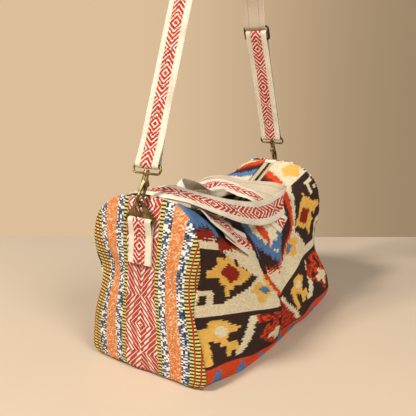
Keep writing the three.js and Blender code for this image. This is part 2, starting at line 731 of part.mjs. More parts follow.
// Shoulder strap: up the left leg, over the arch and down the right leg in one line on the centre plane.
// along runs up a leg from its loop bar, out is away from the bag's middle, side is -1 left and 1 right.
const loopBarAt = hookReach + loopHeight;
function legPoint(side, along, out) {
  const run = loopBarAt + along;
  const x = hookSeat.x + run * Math.sin(strapLean) - out * Math.cos(strapLean);
  const z = hookSeat.z + run * Math.cos(strapLean) + out * Math.sin(strapLean);
  return new THREE.Vector2(-side * x, z);
}
const barBend = loopWire + 2 * gap + strapThickness / 2;
function bendRound(side, towardsOut) {
  return [-0.5, -0.3, -0.1, 0.1].map((part) => {
    const angle = part * Math.PI;
    return legPoint(side, barBend * Math.sin(angle), towardsOut * barBend * Math.cos(angle));
  });
}
const legOut = strapThickness / 2;
const archFoot = legPoint(-1, 0, legOut);
const archCentre = new THREE.Vector2(
  0, archFoot.y + (-archFoot.x - archRadius / Math.cos(strapLean)) / Math.tan(strapLean));
const arch = arcLine(archCentre, archRadius, Math.PI - strapLean, strapLean, 14);
const leftLeg = [...bendRound(-1, 1), legPoint(-1, 14, barBend - 1), legPoint(-1, 30, legOut)];
const sliderBend = adjusterWire + 2 * gap + strapThickness / 2;
const rightLeg = [
  legPoint(1, adjusterAlong + 70, legOut),
  legPoint(1, adjusterAlong + 44, 0),
  legPoint(1, adjusterAlong + adjusterPitch + 4, -sliderBend),
  legPoint(1, adjusterAlong + adjusterPitch, -sliderBend),
  legPoint(1, adjusterAlong + adjusterPitch - 4, -sliderBend + 2),
  legPoint(1, adjusterAlong + 4, sliderBend - 2),
  legPoint(1, adjusterAlong, sliderBend),
  legPoint(1, adjusterAlong - adjusterPitch, sliderBend),
  legPoint(1, adjusterAlong - 60, legOut + 0.6),
  legPoint(1, 30, legOut + 0.6),
  legPoint(1, 14, barBend - 1),
  ...bendRound(1, 1).reverse(),
];
const leftReturn = [
  ...bendRound(-1, -1).slice(0, -1), legPoint(-1, 14, 1.4 - barBend), legPoint(-1, 30, 0.3 - legOut),
  legPoint(-1, sewnLap, 0.3 - legOut),
];
const rightReturn = [
  ...bendRound(1, -1).slice(0, -1), legPoint(1, 14, 1 - barBend), legPoint(1, 30, -legOut - 0.6),
  legPoint(1, adjusterAlong - 60, -legOut - 0.6),
  legPoint(1, adjusterAlong - adjusterPitch, -sliderBend),
  legPoint(1, adjusterAlong, -sliderBend),
  legPoint(1, adjusterAlong + 3, -sliderBend + 1.4),
  legPoint(1, adjusterAlong + 6, 0),
];
addPiece("shoulder_strap", join(
  ribbon([...leftLeg, ...arch, ...rightLeg], strapThickness),
  ribbon(leftReturn, strapThickness),
  ribbon(rightReturn, strapThickness)), cloth(colours.canvas));

// Slide adjuster: a wire frame with three bars that the doubled leg is threaded through.
const adjuster = join(
  roundedFrame(loopHalfWidth, -adjusterPitch, adjusterPitch, loopCorner - 1, adjusterWire),
  rodAcross(adjusterWire, loopHalfWidth, 0, 0, 10));
const adjusterSeat = new THREE.Group();
const adjusterPlace = legPoint(1, adjusterAlong, 0);
adjusterSeat.position.set(adjusterPlace.x, 0, adjusterPlace.y);
adjusterSeat.rotation.y = -strapLean;
bag.add(adjusterSeat);
addPiece("strap_adjuster", adjuster, metal(colours.darkBrass), adjusterSeat);

export default bag;
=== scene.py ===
import math
from functools import partialmethod
import bpy
import numpy as np
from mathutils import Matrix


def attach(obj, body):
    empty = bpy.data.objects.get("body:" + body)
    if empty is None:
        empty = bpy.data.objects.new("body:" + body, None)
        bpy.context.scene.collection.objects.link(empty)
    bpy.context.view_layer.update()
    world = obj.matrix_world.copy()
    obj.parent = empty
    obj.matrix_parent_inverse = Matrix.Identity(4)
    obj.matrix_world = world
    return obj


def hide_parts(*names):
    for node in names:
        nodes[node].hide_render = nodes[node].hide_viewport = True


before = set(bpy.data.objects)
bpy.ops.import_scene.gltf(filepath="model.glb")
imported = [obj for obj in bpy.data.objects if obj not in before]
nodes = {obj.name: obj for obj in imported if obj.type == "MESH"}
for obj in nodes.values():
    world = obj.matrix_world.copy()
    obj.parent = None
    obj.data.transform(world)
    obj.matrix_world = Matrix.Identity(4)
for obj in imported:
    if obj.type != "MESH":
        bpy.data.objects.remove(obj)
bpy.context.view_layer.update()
scene = bpy.context.scene
print("frame loaded:", len(nodes), "nodes")

# camera where the photograph was taken from
cameraSet = {"at": (-0.8655, -0.519, 0.4937), "tilt": 75.71, "turn": -57.61, "lens": 44.97}
cameraData = bpy.data.cameras.new("photoCamera")
cameraData.lens = cameraSet["lens"]
cameraData.sensor_width = 36.0
cameraObject = bpy.data.objects.new("photoCamera", cameraData)
cameraObject.location = cameraSet["at"]
cameraObject.rotation_euler = (math.radians(cameraSet["tilt"]), 0.0, math.radians(cameraSet["turn"]))
scene.collection.objects.link(cameraObject)
scene.camera = cameraObject
scene.view_settings.view_transform = "Standard"


# small maths
def lerp(a, b, t):
    return a + (b - a) * t


# smoothstep: 3t^2 - 2t^3 of x between low and high
def smooth(x, low, high):
    t = np.clip((x - low) / (high - low), 0.0, 1.0)
    return t * t * (3.0 - 2.0 * t)


# rises smoothly from low to high and falls again from back to gone
def hump(x, low, high, back, gone):
    return smooth(x, low, high) * (1 - smooth(x, back, gone))


# bell curve: exp(-((x - middle) / wide)^2)
def bell(x, middle, wide):
    return np.exp(-((x - middle) / wide) ** 2)


def unit(vectors):
    return vectors / np.maximum(np.linalg.norm(vectors, axis=-1, keepdims=True), 1e-9)


# where t, from 0 to 1, falls among the knots: the number of the span, and the share of it that is passed
def spanAt(knots, t):
    last = len(knots) - 1
    place = np.clip(t, 0.0, 1.0) * last
    span = np.minimum(np.floor(place).astype(int), last - 1)
    return span, (place - span)[..., None]


# cubic from here to there, leaving and arriving at the given speeds:
# (2h - 2t + l + a) s^3 + (3t - 3h - 2l - a) s^2 + l s + h
def cubicAt(here, there, leave, arrive, share):
    return ((2 * here - 2 * there + leave + arrive) * share ** 3
            + (3 * there - 3 * here - 2 * leave - arrive) * share ** 2 + leave * share + here)


# uniform Catmull-Rom curve through flat knots
def splineAt(knots, t):
    span, share = spanAt(knots, t)
    before, here, there = knots[np.maximum(span - 1, 0)], knots[span], knots[span + 1]
    after = knots[np.minimum(span + 2, len(knots) - 1)]
    return cubicAt(here, there, (there - before) / 2, (after - here) / 2, share)


# centripetal Catmull-Rom curve through knots in space: time between knots is the root of their distance
def curveAt(knots, t):
    knots = np.asarray(knots, float)
    span, share = spanAt(knots, t)
    ends = np.vstack([2 * knots[0] - knots[1], knots, 2 * knots[-1] - knots[-2]])
    before, here, there, after = (ends[span + ahead] for ahead in range(4))
    first, middle, last = (np.maximum(np.sqrt(np.linalg.norm(end - start, axis=-1, keepdims=True)), 1e-4)
                           for start, end in ((before, here), (here, there), (there, after)))
    step = (there - here) / middle
    leave = ((here - before) / first - (there - before) / (first + middle) + step) * middle
    arrive = (step - (after - here) / (middle + last) + (after - there) / last) * middle
    return cubicAt(here, there, leave, arrive, share)


# running length of a polyline, from 0 at its first point
def runLength(points):
    return np.concatenate([[0.0], np.cumsum(np.linalg.norm(np.diff(points, axis=0), axis=1))])


# even steps of arc length along a dense polyline, with the same share of any arrays that go with it
def evenSteps(points, step, *others):
    run = runLength(points)
    marks = np.linspace(0.0, run[-1], max(int(round(run[-1] / step)), 2) + 1)

    def atMarks(values):
        return np.stack([np.interp(marks, run, column) for column in values.T], 1)

    return [atMarks(points), marks] + [atMarks(other) for other in others]


# a grid of two shares that end at 1: the first goes by row, the second by column
def shareGrid(rows, cols, rowStart=0.0, colStart=0.0):
    return np.meshgrid(np.linspace(rowStart, 1, rows), np.linspace(colStart, 1, cols), indexing="ij")


# meshes from arrays
# quads of a rows x cols grid; wrap closes the columns, and the second array indexes a UV grid that is
# then one column wider
def gridQuads(rows, cols, wrap=False):
    i, j = np.indices((rows - 1, cols if wrap else cols - 1))
    right = (j + 1) % cols
    wide = cols + (1 if wrap else 0)
    quads = np.stack([i * cols + j, i * cols + right, (i + 1) * cols + right, (i + 1) * cols + j], -1)
    corners = np.stack([i * wide + j, i * wide + j + 1, (i + 1) * wide + j + 1, (i + 1) * wide + j], -1)
    return quads.reshape(-1, 4), corners.reshape(-1, 4)


# a mesh from points in millimetres, with its materials and the body it rides on
def newPiece(name, points, faces, material, body, uv=None, corners=None, flat=False):
    mesh = bpy.data.meshes.new(name)
    mesh.from_pydata((points.reshape(-1, 3) * 0.001).tolist(), [], [list(face) for face in faces])
    mesh.polygons.foreach_set("use_smooth", [not flat] * len(mesh.polygons))
    if uv is not None:
        layer = mesh.uv_layers.new(name="weave")
        index = np.concatenate([np.asarray(face) for face in (faces if corners is None else corners)])
        layer.data.foreach_set("uv", uv.reshape(-1, 2)[index].astype(np.float32).ravel())
    for one in (material if isinstance(material, list) else [material]):
        mesh.materials.append(one)
    mesh.update()
    piece = bpy.data.objects.new(name, mesh)
    scene.collection.objects.link(piece)
    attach(piece, body)
    return piece


# surface normals of a grid: the cross product of its two directions
def gridNormals(points):
    return unit(np.cross(np.gradient(points, axis=0), np.gradient(points, axis=1)))


# a cloth shell: the skin, the same skin moved inwards by its thickness, and the rim that joins them
def shellPiece(name, skin, normals, thick, uv, materials, body):
    rows, cols = skin.shape[:2]
    count = rows * cols
    points = np.concatenate([skin.reshape(-1, 3), (skin - normals * thick).reshape(-1, 3)])
    points[:, 2] = np.maximum(points[:, 2], 0.0)  # nothing sinks into the floor
    quads, _ = gridQuads(rows, cols)
    ids = np.arange(count).reshape(rows, cols)
    rim = np.concatenate([ids[0, :-1], ids[:-1, -1], ids[-1, :0:-1], ids[:0:-1, 0]])
    after = np.roll(rim, -1)
    sides = np.stack([rim, rim + count, after + count, after], -1)
    faces = np.concatenate([quads, quads[:, ::-1] + count, sides])
    piece = newPiece(name, points, faces, materials, body, np.concatenate([uv, uv]))
    inner = np.zeros(len(faces), np.int32)
    inner[len(quads):2 * len(quads)] = 1
    piece.data.polygons.foreach_set("material_index", inner)
    return piece


# a closed band: a profile (across, out) carried along a path with its side and face directions
def bandPiece(name, path, side, face, profile, along, across, material, body):
    points = (path[:, None] + profile[None, :, :1] * side[:, None] + profile[None, :, 1:] * face[:, None])
    rows, cols = points.shape[:2]
    quads, corners = gridQuads(rows, cols, True)
    wide = np.stack(np.broadcast_arrays(across[None, :], along[:, None]), -1)
    caps = [list(range(cols))[::-1], list(range((rows - 1) * cols, rows * cols))]
    capCorners = [list(range(cols))[::-1], list(range((rows - 1) * (cols + 1), rows * (cols + 1) - 1))]
    return newPiece(name, points, quads.tolist() + caps, material, body, wide,
                    corners.tolist() + capCorners)


# copies of local points at each place, turned to its own three directions
def copiesAt(places, heading, side, out, local):
    return (places[:, None] + local[None, :, :1] * heading[:, None]
            + local[None, :, 1:2] * side[:, None] + local[None, :, 2:] * out[:, None])


# a thread stitch: a spindle of rings, as shares of its length and radius, repeated at each place
spindleSet = {"around": 6, "reach": (-0.5, -0.32, 0.32, 0.5), "girth": (0.35, 1.0, 1.0, 0.35)}


def stitchPiece(name, places, heading, side, out, sizes, material, body):
    around, rings = spindleSet["around"], len(spindleSet["reach"])
    angles = np.linspace(0, 2 * np.pi, around, endpoint=False)
    reach = np.array(spindleSet["reach"]) * sizes["length"]
    girth = np.array(spindleSet["girth"]) * sizes["radius"]
    local = np.stack([np.repeat(reach, around), np.outer(girth, np.cos(angles)).ravel(),
                      np.outer(girth, np.sin(angles)).ravel()], -1)
    points = copiesAt(places, heading, side, out, local)
    quads, _ = gridQuads(rings, around, True)
    count = rings * around
    base = np.arange(len(places))[:, None, None] * count
    faces = (quads[None] + base).reshape(-1, 4).tolist()
    faces += (np.arange(around)[::-1][None] + base[:, 0]).tolist()
    faces += (np.arange(count - around, count)[None] + base[:, 0]).tolist()
    newPiece(name, points, faces, material, body)


# materials
# a dye given as 0-255 display values, in the linear light that shaders use: s / 12.92 in the darkest shades,
# ((s + 0.055) / 1.055)^2.4 above
def dye(red, green, blue):
    shares = [value / 255.0 for value in (red, green, blue)]
    return tuple(s / 12.92 if s <= 0.04045 else ((s + 0.055) / 1.055) ** 2.4 for s in shares) + (1.0,)


# sets an input of a node, or links a wire or a socket to it
def feed(tree, entry, value):
    if isinstance(value, Wire):
        value = value.socket
    if isinstance(value, bpy.types.NodeSocket):
        tree.links.new(value, entry)
    else:
        entry.default_value = value


# a new shader node: its settings by name, and its inputs by place or name
def newNode(tree, kind, inputs, **settings):
    node = tree.nodes.new("ShaderNode" + kind)
    for name, value in settings.items():
        setattr(node, name, value)
    for place, value in inputs.items():
        feed(tree, node.inputs[place], value)
    return node


# one value in a material; arithmetic on it adds Math nodes, & and | join masks of 0 and 1
class Wire:
    def __init__(self, tree, socket):
        self.tree, self.socket = tree, socket

    def via(self, how, *others):
        node = newNode(self.tree, "Math", dict(enumerate((self,) + others)), operation=how)
        return Wire(self.tree, node.outputs[0])

    __add__ = partialmethod(via, "ADD")
    __sub__ = partialmethod(via, "SUBTRACT")
    __mul__ = __and__ = partialmethod(via, "MULTIPLY")
    __truediv__ = partialmethod(via, "DIVIDE")
    __or__ = partialmethod(via, "MAXIMUM")
    __lt__ = partialmethod(via, "LESS_THAN")
    __gt__ = partialmethod(via, "GREATER_THAN")
    __abs__ = partialmethod(via, "ABSOLUTE")
    floor = partialmethod(via, "FLOOR")
    part = partialmethod(via, "FRACT")
    wave = partialmethod(via, "SINE")

    # smoothstep between low and high
    def ramp(self, low, high):
        node = newNode(self.tree, "MapRange", {0: self, 1: low, 2: high}, interpolation_type="SMOOTHSTEP")
        return Wire(self.tree, node.outputs[0])


# a Principled material with its tree at hand
class Finish:
    def __init__(self, name, roughness, metallic=0.0, gloss=0.5):
        self.material = bpy.data.materials.new(name)
        self.material.use_nodes = True
        self.tree = self.material.node_tree
        self.shader = self.tree.nodes["Principled BSDF"]
        self.surface("Roughness", roughness)
        self.surface("Metallic", metallic)
        self.surface("Specular IOR Level", gloss)

    def node(self, kind, inputs, **settings):
        return newNode(self.tree, kind, inputs, **settings)

    def surface(self, entry, value):
        feed(self.tree, self.shader.inputs[entry], value)

    # the first parts of a vector, each as a wire
    def split(self, vector, count):
        parts = self.node("SeparateXYZ", {0: vector}).outputs
        return [Wire(self.tree, parts[place]) for place in range(count)]

    def uv(self):
        return self.split(self.node("UVMap", {}, uv_map="weave").outputs[0], 2)

    def objectPlace(self):
        return self.node("TexCoord", {}).outputs["Object"]

    def spot(self, x, y):
        return self.node("CombineXYZ", {0: x, 1: y}).outputs[0]

    # a random value for each cell of a grid
    def speckle(self, x, y):
        noise = self.node("TexWhiteNoise", {"Vector": self.spot(x.floor(), y.floor())}, noise_dimensions="2D")
        return Wire(self.tree, noise.outputs["Value"])

    # a slow noise, over the object's own space unless a vector is given
    def cloud(self, scale, detail=3.0, vector=None):
        vector = vector or self.objectPlace()
        noise = self.node("TexNoise", {"Scale": scale, "Detail": detail, "Vector": vector})
        return Wire(self.tree, noise.outputs[0])

    # paints a colour over another where mask is 1
    def over(self, under, colour, mask):
        return self.node("Mix", {0: mask, 6: under, 7: colour}, data_type="RGBA").outputs[2]

    # lays dyes over a ground one after the other, each where its mask is 1
    def layers(self, ground, *coats):
        for dyeName, mask in coats:
            ground = self.over(ground, dyes[dyeName], mask)
        return ground

    # multiplies a colour by a value round 1
    def shade(self, colour, value):
        return self.node("VectorMath", {0: colour, "Scale": value}, operation="SCALE").outputs[0]

    def colour(self, socket):
        self.surface("Base Color", socket)

    def bump(self, height, distance, strength):
        relief = self.node("Bump", {"Strength": strength, "Distance": distance, "Height": height})
        self.surface("Normal", relief.outputs[0])
        return relief


# inside a lozenge: |x - cx| / w + |y - cy| / h under 1
def lozenge(x, y, cx, cy, w, h):
    return (abs(x - cx) / w + abs(y - cy) / h) < 1.0


# inside a rectangle, given by its middle and its half sizes
def block(x, y, cx, cy, w, h):
    return (abs(x - cx) < w) & (abs(y - cy) < h)


# inside any of several rectangles
def blocks(x, y, first, *others):
    inside = block(x, y, *first)
    for other in others:
        inside = inside | block(x, y, *other)
    return inside


dyes = {"brown": dye(60, 41, 37), "cream": dye(238, 222, 186), "gold": dye(243, 190, 92),
        "redOrange": dye(222, 78, 36), "darkRed": dye(150, 40, 26), "blue": dye(92, 126, 172),
        "orange": dye(230, 146, 84), "navy": dye(46, 58, 84), "white": dye(244, 236, 222),
        "yellow": dye(232, 210, 112), "green": dye(34, 58, 48), "trimRed": dye(186, 52, 36),
        "canvas": dye(234, 222, 200), "apricot": dye(250, 222, 188), "rust": dye(210, 124, 70),
        "slate": dye(98, 114, 138), "bandRed": dye(188, 66, 44), "canvasWorn": dye(214, 200, 176),
        # the webbing's back: its own beige, darkened further with painted shade
        "canvasBack": dye(200, 182, 158), "canvasSeam": dye(176, 156, 130)}

# Kilim cloth: U runs along the bag and V round it from under the middle, both in millimetres.
# Motifs are lozenges, blocks and slanted bars on a stepped grid, as a slit weave steps them.
kilimSet = {"stepX": 5.4, "stepY": 4.4, "tooth": 4.6, "toothPitch": 3.4, "comb": 46.0, "repeat": 244.0,
            "ribs": 3.2, "wefts": 1.7, "fold": -38.0, "lift": 28.0, "cornerLift": 20.0, "lowerTop": 247.0}


class KilimCloth(Finish):
    # x and y are U and V in steps, out is the distance from the middle, far and near are 1 beyond and before
    # the fold. Beyond the fold V drops by the lift, less low down at the far end.
    # The comb of the slits: each weft shifts by a saw of V and a random length.
    def __init__(self):
        super().__init__("kilimCloth", 0.9, gloss=0.18)
        self.u, self.flatV = self.uv()
        self.far = self.u.ramp(kilimSet["fold"] - 1.0, kilimSet["fold"] + 1.0)
        self.near = self.far * -1.0 + 1.0
        lowFar = self.u.ramp(90.0, 240.0) & (self.flatV * -1.0).ramp(-330.0, -270.0)
        self.v = self.flatV - self.far * kilimSet["lift"] + lowFar * kilimSet["cornerLift"]
        self.comb = self.speckle(self.v / kilimSet["wefts"], self.u / kilimSet["comb"])
        saw = abs((self.v / kilimSet["toothPitch"]).part() - 0.5)
        self.tooth = saw * kilimSet["tooth"] + self.comb * kilimSet["tooth"]
        stepX, stepY = kilimSet["stepX"], kilimSet["stepY"]
        self.x = ((self.u + self.tooth) / stepX).floor() * stepX
        self.y = ((self.v + self.comb * 1.2) / stepY).floor() * stepY + stepY / 2
        self.out = abs(self.x)
        # hem: how far the top of the red band along the floor drops, most in the middle of the bag
        self.hem = self.u.ramp(-210.0, -50.0) * (self.u.ramp(40.0, 110.0) * -0.6 + 1.0) * 30.0

    # cream ground, brown half hexagons at the ends round a gold figure, hooks at the seams and a spray
    def upperField(self):
        out, y, far, near = self.out, self.y, self.far, self.near
        rise = abs(y - 318.0)
        sprayY = y - far * 8.0
        hexagon = ((lozenge(out, y, 206, 318, 136, 60) & (rise < 48.0) & near)
                   | (lozenge(out, y, 206, 318, 102, 130) & (rise < 78.0) & far))
        figure = (lozenge(out, y, 158, 325, 70, 31) & near) | (lozenge(out, y, 170, 324, 58, 40) & far)
        arms = blocks(out, y, (170, 296, 8, 15), (186, 346, 13, 8), (216, 323, 12, 6))
        return self.layers(
            dyes["cream"],
            ("brown", hexagon),
            ("gold", figure | arms | (block(out, y, 178, 362, 5, 9) & far)),
            ("brown", blocks(out, y, (196, 310, 6, 6), (134, 346, 6, 6), (148, 301, 8, 4))),
            ("darkRed", lozenge(out, y, 158, 326, 31, 19) | block(out, y, 158, 326, 22, 6)),
            ("cream", blocks(out, y, (224, 289, 18, 5), (211, 279, 6, 13), (238, 270, 5, 24))),
            ("cream", blocks(out, y, (220, 377, 16, 5), (209, 368, 5, 14), (230, 362, 5, 5)) & far),
            ("gold", lozenge(out, sprayY, 76, 290, 38, 20)
             | blocks(out, sprayY, (52, 306, 7, 15), (84, 272, 9, 8))),
            ("blue", lozenge(out, sprayY, 66, 291, 19, 10)))

    # bands above a line that climbs from the fold; high is the height over that line plus a saw of U
    def medallion(self, ground):
        x, y, out, far, near = self.x, self.y, self.out, self.far, self.near
        nearLine = (out * 4.0 + 160.0).via("MINIMUM", out * -0.13 + 386.0) + out.ramp(184.0, 190.0) * 22.0
        farLine = out * 0.35 + (out - 95.0).via("MAXIMUM", 0.0) * 1.1 + 285.0
        saw = (abs((x / 9.0).part() - 0.5) * 15.0 - 4.0) + (self.comb - 0.5) * 7.0
        high = y - nearLine + (nearLine - farLine) * far + saw
        wide = (out.ramp(80.0, 130.0) & far) * 34.0 + near * 7.0 + 9.0
        return self.layers(
            ground,
            ("redOrange", high > 0.0),
            ("darkRed", (high > wide * 0.66) | ((high > 0.0) & (out > 130.0) & near)),
            ("brown", high > wide),
            ("blue", ((high > wide + 24.0) & (out > 96.0)) | ((high > wide + 6.0) & (out > 168.0) & near)),
            ("cream", (high > wide + 62.0) & (out > 96.0)),
            ("brown", (abs(x + 43.0) < 9.0) & (self.flatV > 322.0)),
            ("blue", lozenge(x, y + saw, 16, 370, 68, 75) & (x > -39.0)),
            ("cream", lozenge(x, y + saw, 22, 376, 40, 62)),
            ("blue", lozenge(x, y, 24, 330, 12, 9)),
            ("redOrange", lozenge(x, y, 13, 368, 13, 34)),
            ("gold", lozenge(out, y, 210, 420, 30, 22) & (high < 0.0)))

    # patches of a motif, where a slow noise is over the threshold
    def faded(self, motif, wide, tall, threshold):
        return motif & (self.cloud(9.0, 2.0, self.spot(self.x / wide, self.y / tall)) > threshold)

    # repeated along the bag: gold figure, cream zigzag, red star with a cream cross, cream slant, and the red
    # band along the floor with its blue trees
    def lowerField(self):
        x, y, far = self.x, self.y, self.far
        run = ((x + 284.0) / kilimSet["repeat"]).part() * kilimSet["repeat"] - 82.0
        gold = run + (run * 0.35 - 8.0) * far
        starX, starY = run + far * 30.0, y - far * 22.0
        star = (lozenge(starX, starY, 148, 188, 58, 54)
                | blocks(starX, starY, (112, 228, 18, 9), (176, 214, 14, 10)))
        slant = run + 64.0 + (y - 230.0) * 0.53
        beside = (slant < 0.0) & (run < 0.0) & far
        treeX = ((x + 245.0) / 60.0).part() * 60.0 - 30.0
        return self.layers(
            dyes["brown"],
            ("gold", lozenge(gold, y, 2, 222, 50, 24)
             | blocks(gold, y, (-29, 192, 9, 23), (24, 186, 16, 13), (10, 203, 8, 8))),
            ("brown", blocks(gold, y, (-24, 234, 8, 4), (28, 176, 5, 6), (30, 212, 7, 4))),
            ("cream", lozenge(gold, y, 6, 220, 16, 12)),
            ("cream", (abs(run - 81.0 - (y - 222.0) * 0.78) < 10.5) & (y > 166.0)),
            ("redOrange", star),
            ("darkRed", self.faded(star, 70.0, 50.0, 0.5)),
            ("brown", blocks(starX, starY, (128, 212, 6, 9), (164, 200, 7, 10), (118, 180, 8, 5))),
            ("cream", blocks(starX, starY, (152, 168, 30, 6.5), (152, 168, 8, 19))
             | lozenge(starX, starY, 152, 168, 22, 17)),
            ("redOrange", beside),
            ("darkRed", self.faded(beside, 60.0, 40.0, 0.46)),
            ("cream", (abs(slant) < 7.0) & (run < 0.0) & far),
            ("redOrange", self.v + self.hem < 163.0),
            ("blue", lozenge(treeX, y + self.hem, 0, 128, 17, 34) & (self.v + self.hem < 160.0)))

    # cream stripe with a dark line under it, a dark line over the red band, and a flame's tail down the fold
    def lines(self, ground):
        toothed = self.v + self.tooth * 0.4
        tail = abs(self.x + 36.0 + (self.flatV - 295.0) * 0.42) < 6.5
        return self.layers(
            ground,
            ("cream", abs(toothed - 256.5) < 8.5),
            ("brown", (abs(toothed - 244.5) < 4.5) | (abs(self.v + self.hem - 164.5) < 2.5)),
            ("redOrange", tail & (self.flatV > 272.0) & (self.flatV < 322.0)))

    # yarn: each pick differs a little, long patches fade, and the grooves between the ribs are darkened with
    # painted shade
    def finish(self):
        u, v = self.u, self.v
        upper = self.medallion(self.upperField())
        drawn = self.lines(self.over(upper, self.lowerField(), v < kilimSet["lowerTop"]))
        pick = self.speckle(u / kilimSet["ribs"] + v * 0.31, v / kilimSet["wefts"])
        rib = abs(((u + v * 0.55) * (math.pi / kilimSet["ribs"])).wave())
        # painted shade: the rib wave darkens the colour in the grooves between the ribs
        self.colour(self.shade(drawn, pick * 0.3 + self.cloud(9.0) * 0.34 + rib * 0.3 + 0.56))
        weft = abs(((v / kilimSet["wefts"] + (u / kilimSet["ribs"]).floor() * 0.5) * math.pi).wave())
        self.bump(rib * 0.7 + weft * 0.35 + pick * 0.4, 0.0016, 0.9)
        return self.material


# Striped cloth: U is the distance from the middle of the end panel, V the height, in millimetres.
stripeSet = {"red": 34.5, "ladder": 42.5, "navy": 57.5, "orange": 82.0, "blue": 97.5,
             "rules": ((105.0, 107.5), (115.0, 117.5)), "diamond": 101.0, "diamondAt": 0.592, "line": 8.4,
             "cell": 1.6, "rung": 5.8, "fleckWide": 3.9, "fleckHigh": 2.3, "ribs": 2.1, "warps": 1.7}


def stripedCloth():
    cloth = Finish("stripedCloth", 0.9, gloss=0.18)
    u, v = cloth.uv()
    out = abs(u + (cloth.cloud(14.0, 1.0) - 0.5) * 1.6)
    # middle band: nested diamonds, |u| plus a triangle wave of the height, ruled into dotted lines
    cell, diamond = stripeSet["cell"], stripeSet["diamond"]
    column, row = (u / cell).floor(), (v / cell).floor()
    wave = abs(((row * cell + cell / 2) / diamond + stripeSet["diamondAt"]).part() - 0.5) * diamond * 0.9
    ruled = abs(((abs(column * cell + cell / 2) + wave) / stripeSet["line"]).part() - 0.5)
    dotted = ((column + row) * 0.5).part() < 0.3
    drawn = cloth.over(dyes["bandRed"], dyes["white"], ((ruled < 0.23) & dotted) | (ruled < 0.07))
    # ladders of yellow and dark green rungs
    rungs = cloth.over(dyes["yellow"], dyes["green"], (v / stripeSet["rung"]).part() < 0.5)
    # flecks: picks set like a chequer, each pushed to dark or pale by chance
    fleckX, fleckY = u / stripeSet["fleckWide"], v / stripeSet["fleckHigh"]
    even = ((fleckX.floor() + fleckY.floor()) * 0.5).part()
    fleck = cloth.speckle(fleckX, fleckY) * 0.8 + even * 0.4
    flecked = cloth.layers(dyes["navy"], ("slate", fleck > 0.34), ("white", fleck > 0.56))
    speck = cloth.speckle(u / 1.8 + v / 3.0, v / 2.2)
    mottled = cloth.layers(dyes["orange"], ("rust", speck < 0.3), ("apricot", speck > 0.88))
    # outwards, each band begins at the edge of the one before
    bands = (("red", rungs), ("ladder", flecked), ("navy", mottled), ("orange", flecked), ("blue", rungs))
    for edge, band in bands:
        drawn = cloth.over(drawn, band, out > stripeSet[edge])
    for low, high in stripeSet["rules"]:
        drawn = cloth.over(drawn, dyes["trimRed"], (out > low) & (out < high))
    pick = cloth.speckle(u / 1.5, v / 1.5)
    cloth.colour(cloth.shade(drawn, pick * 0.3 + cloth.cloud(8.0) * 0.4 + 0.65))
    rib = abs((v * (math.pi / stripeSet["ribs"])).wave())
    warp = abs(((u / stripeSet["warps"] + (v / stripeSet["ribs"]).floor() * 0.5) * math.pi).wave())
    cloth.bump(rib * 0.5 + warp * 0.5 + fleck * 0.3, 0.0013, 0.8)
    return cloth.material


# Webbing: cream canvas, with the woven trim where |U| is under its half width. Where |U| is over the
# plain value, past the edges, is the beige back, darkened further with painted shade, with the two rows of
# stitches coming through.
trimSet = {"half": 11.8, "period": 84.0, "line": 8.4, "thread": 1.5, "white": 0.33, "plain": 25.0,
           "seam": 36.2, "weave": 0.9}


def webbingCloth(name, withTrim):
    cloth = Finish(name, 0.92, gloss=0.18)
    u, v = cloth.uv()
    out, fine = abs(u), trimSet["weave"]
    thread = cloth.speckle(u / fine, v / fine)
    base = cloth.layers(dyes["canvas"], ("canvasWorn", cloth.cloud(22.0, 4.0).ramp(0.45, 0.75)),
                    # the back face: beige cloth plus painted shade
                    ("canvasBack", out > trimSet["plain"]),
                    ("canvasSeam", abs(out - trimSet["seam"]) < 0.8))
    weave = abs((u * (math.pi / fine)).wave()) * 0.5 + abs((v * (math.pi / fine)).wave()) * 0.5
    height = weave * 0.6 + thread * 0.4
    if withTrim:
        # chevrons: |u| plus a triangle wave along the webbing, in steps of a thread, ruled into white lines
        step = trimSet["thread"]
        wave = abs(((v / step).floor() * step / trimSet["period"]).part() - 0.5) * trimSet["period"]
        ruled = (((out / step).floor() * step + wave) / trimSet["line"] + 0.5).part()
        stitch = cloth.speckle(u / step, v / step)
        trim = cloth.layers(dyes["trimRed"], ("redOrange", stitch > 0.62), ("darkRed", stitch < 0.3),
                        ("white", (ruled < trimSet["white"]) & (stitch > 0.1)))
        onTrim = out < trimSet["half"]
        base = cloth.over(base, trim, onTrim)
        height = height + (onTrim & abs((v * (math.pi / step)).wave())) * 0.8
    cloth.colour(cloth.shade(base, thread * 0.2 + cloth.cloud(30.0) * 0.2 + 0.8))
    cloth.bump(height, 0.0008, 0.7)
    return cloth.material


# plain woven cloth: two crossed waves of the pitch, with darker patches
def plainCloth(name, colour, pitch):
    cloth = Finish(name, 0.92, gloss=0.18)
    x, y, z = cloth.split(cloth.objectPlace(), 3)
    rate = math.pi / pitch
    weave = abs((x * rate).wave()) + abs(((y + z) * rate).wave())
    darker = tuple(0.8 * share for share in colour[:3]) + (1.0,)
    cloth.colour(cloth.over(colour, darker, cloth.cloud(60.0, 4.0)))
    cloth.bump(weave, 0.0006, 0.6)
    return cloth.material


# Antique brass: warm metal with darker patches, rubbed brighter where the cloud noise is high, with its
# edges rounded in the shading and small dents
brassSet = {"edge": 0.0007, "dent": 0.0003, "dentScale": 500.0, "patchScale": 70.0, "wearScale": 220.0}


def oldBrass(name, bright, dull, roughness):
    metal = Finish(name, roughness, metallic=1.0)
    worn = metal.cloud(brassSet["patchScale"], 6.0).ramp(0.38, 0.66)
    metal.colour(metal.over(dull, bright, worn))
    metal.surface("Roughness", metal.cloud(brassSet["wearScale"]) * 0.25 + (roughness - 0.1))
    edge = metal.node("Bevel", {"Radius": brassSet["edge"]}, samples=6)
    dents = metal.bump(metal.cloud(brassSet["dentScale"], 2.0), brassSet["dent"], 0.25)
    feed(metal.tree, dents.inputs["Normal"], edge.outputs[0])
    return metal.material


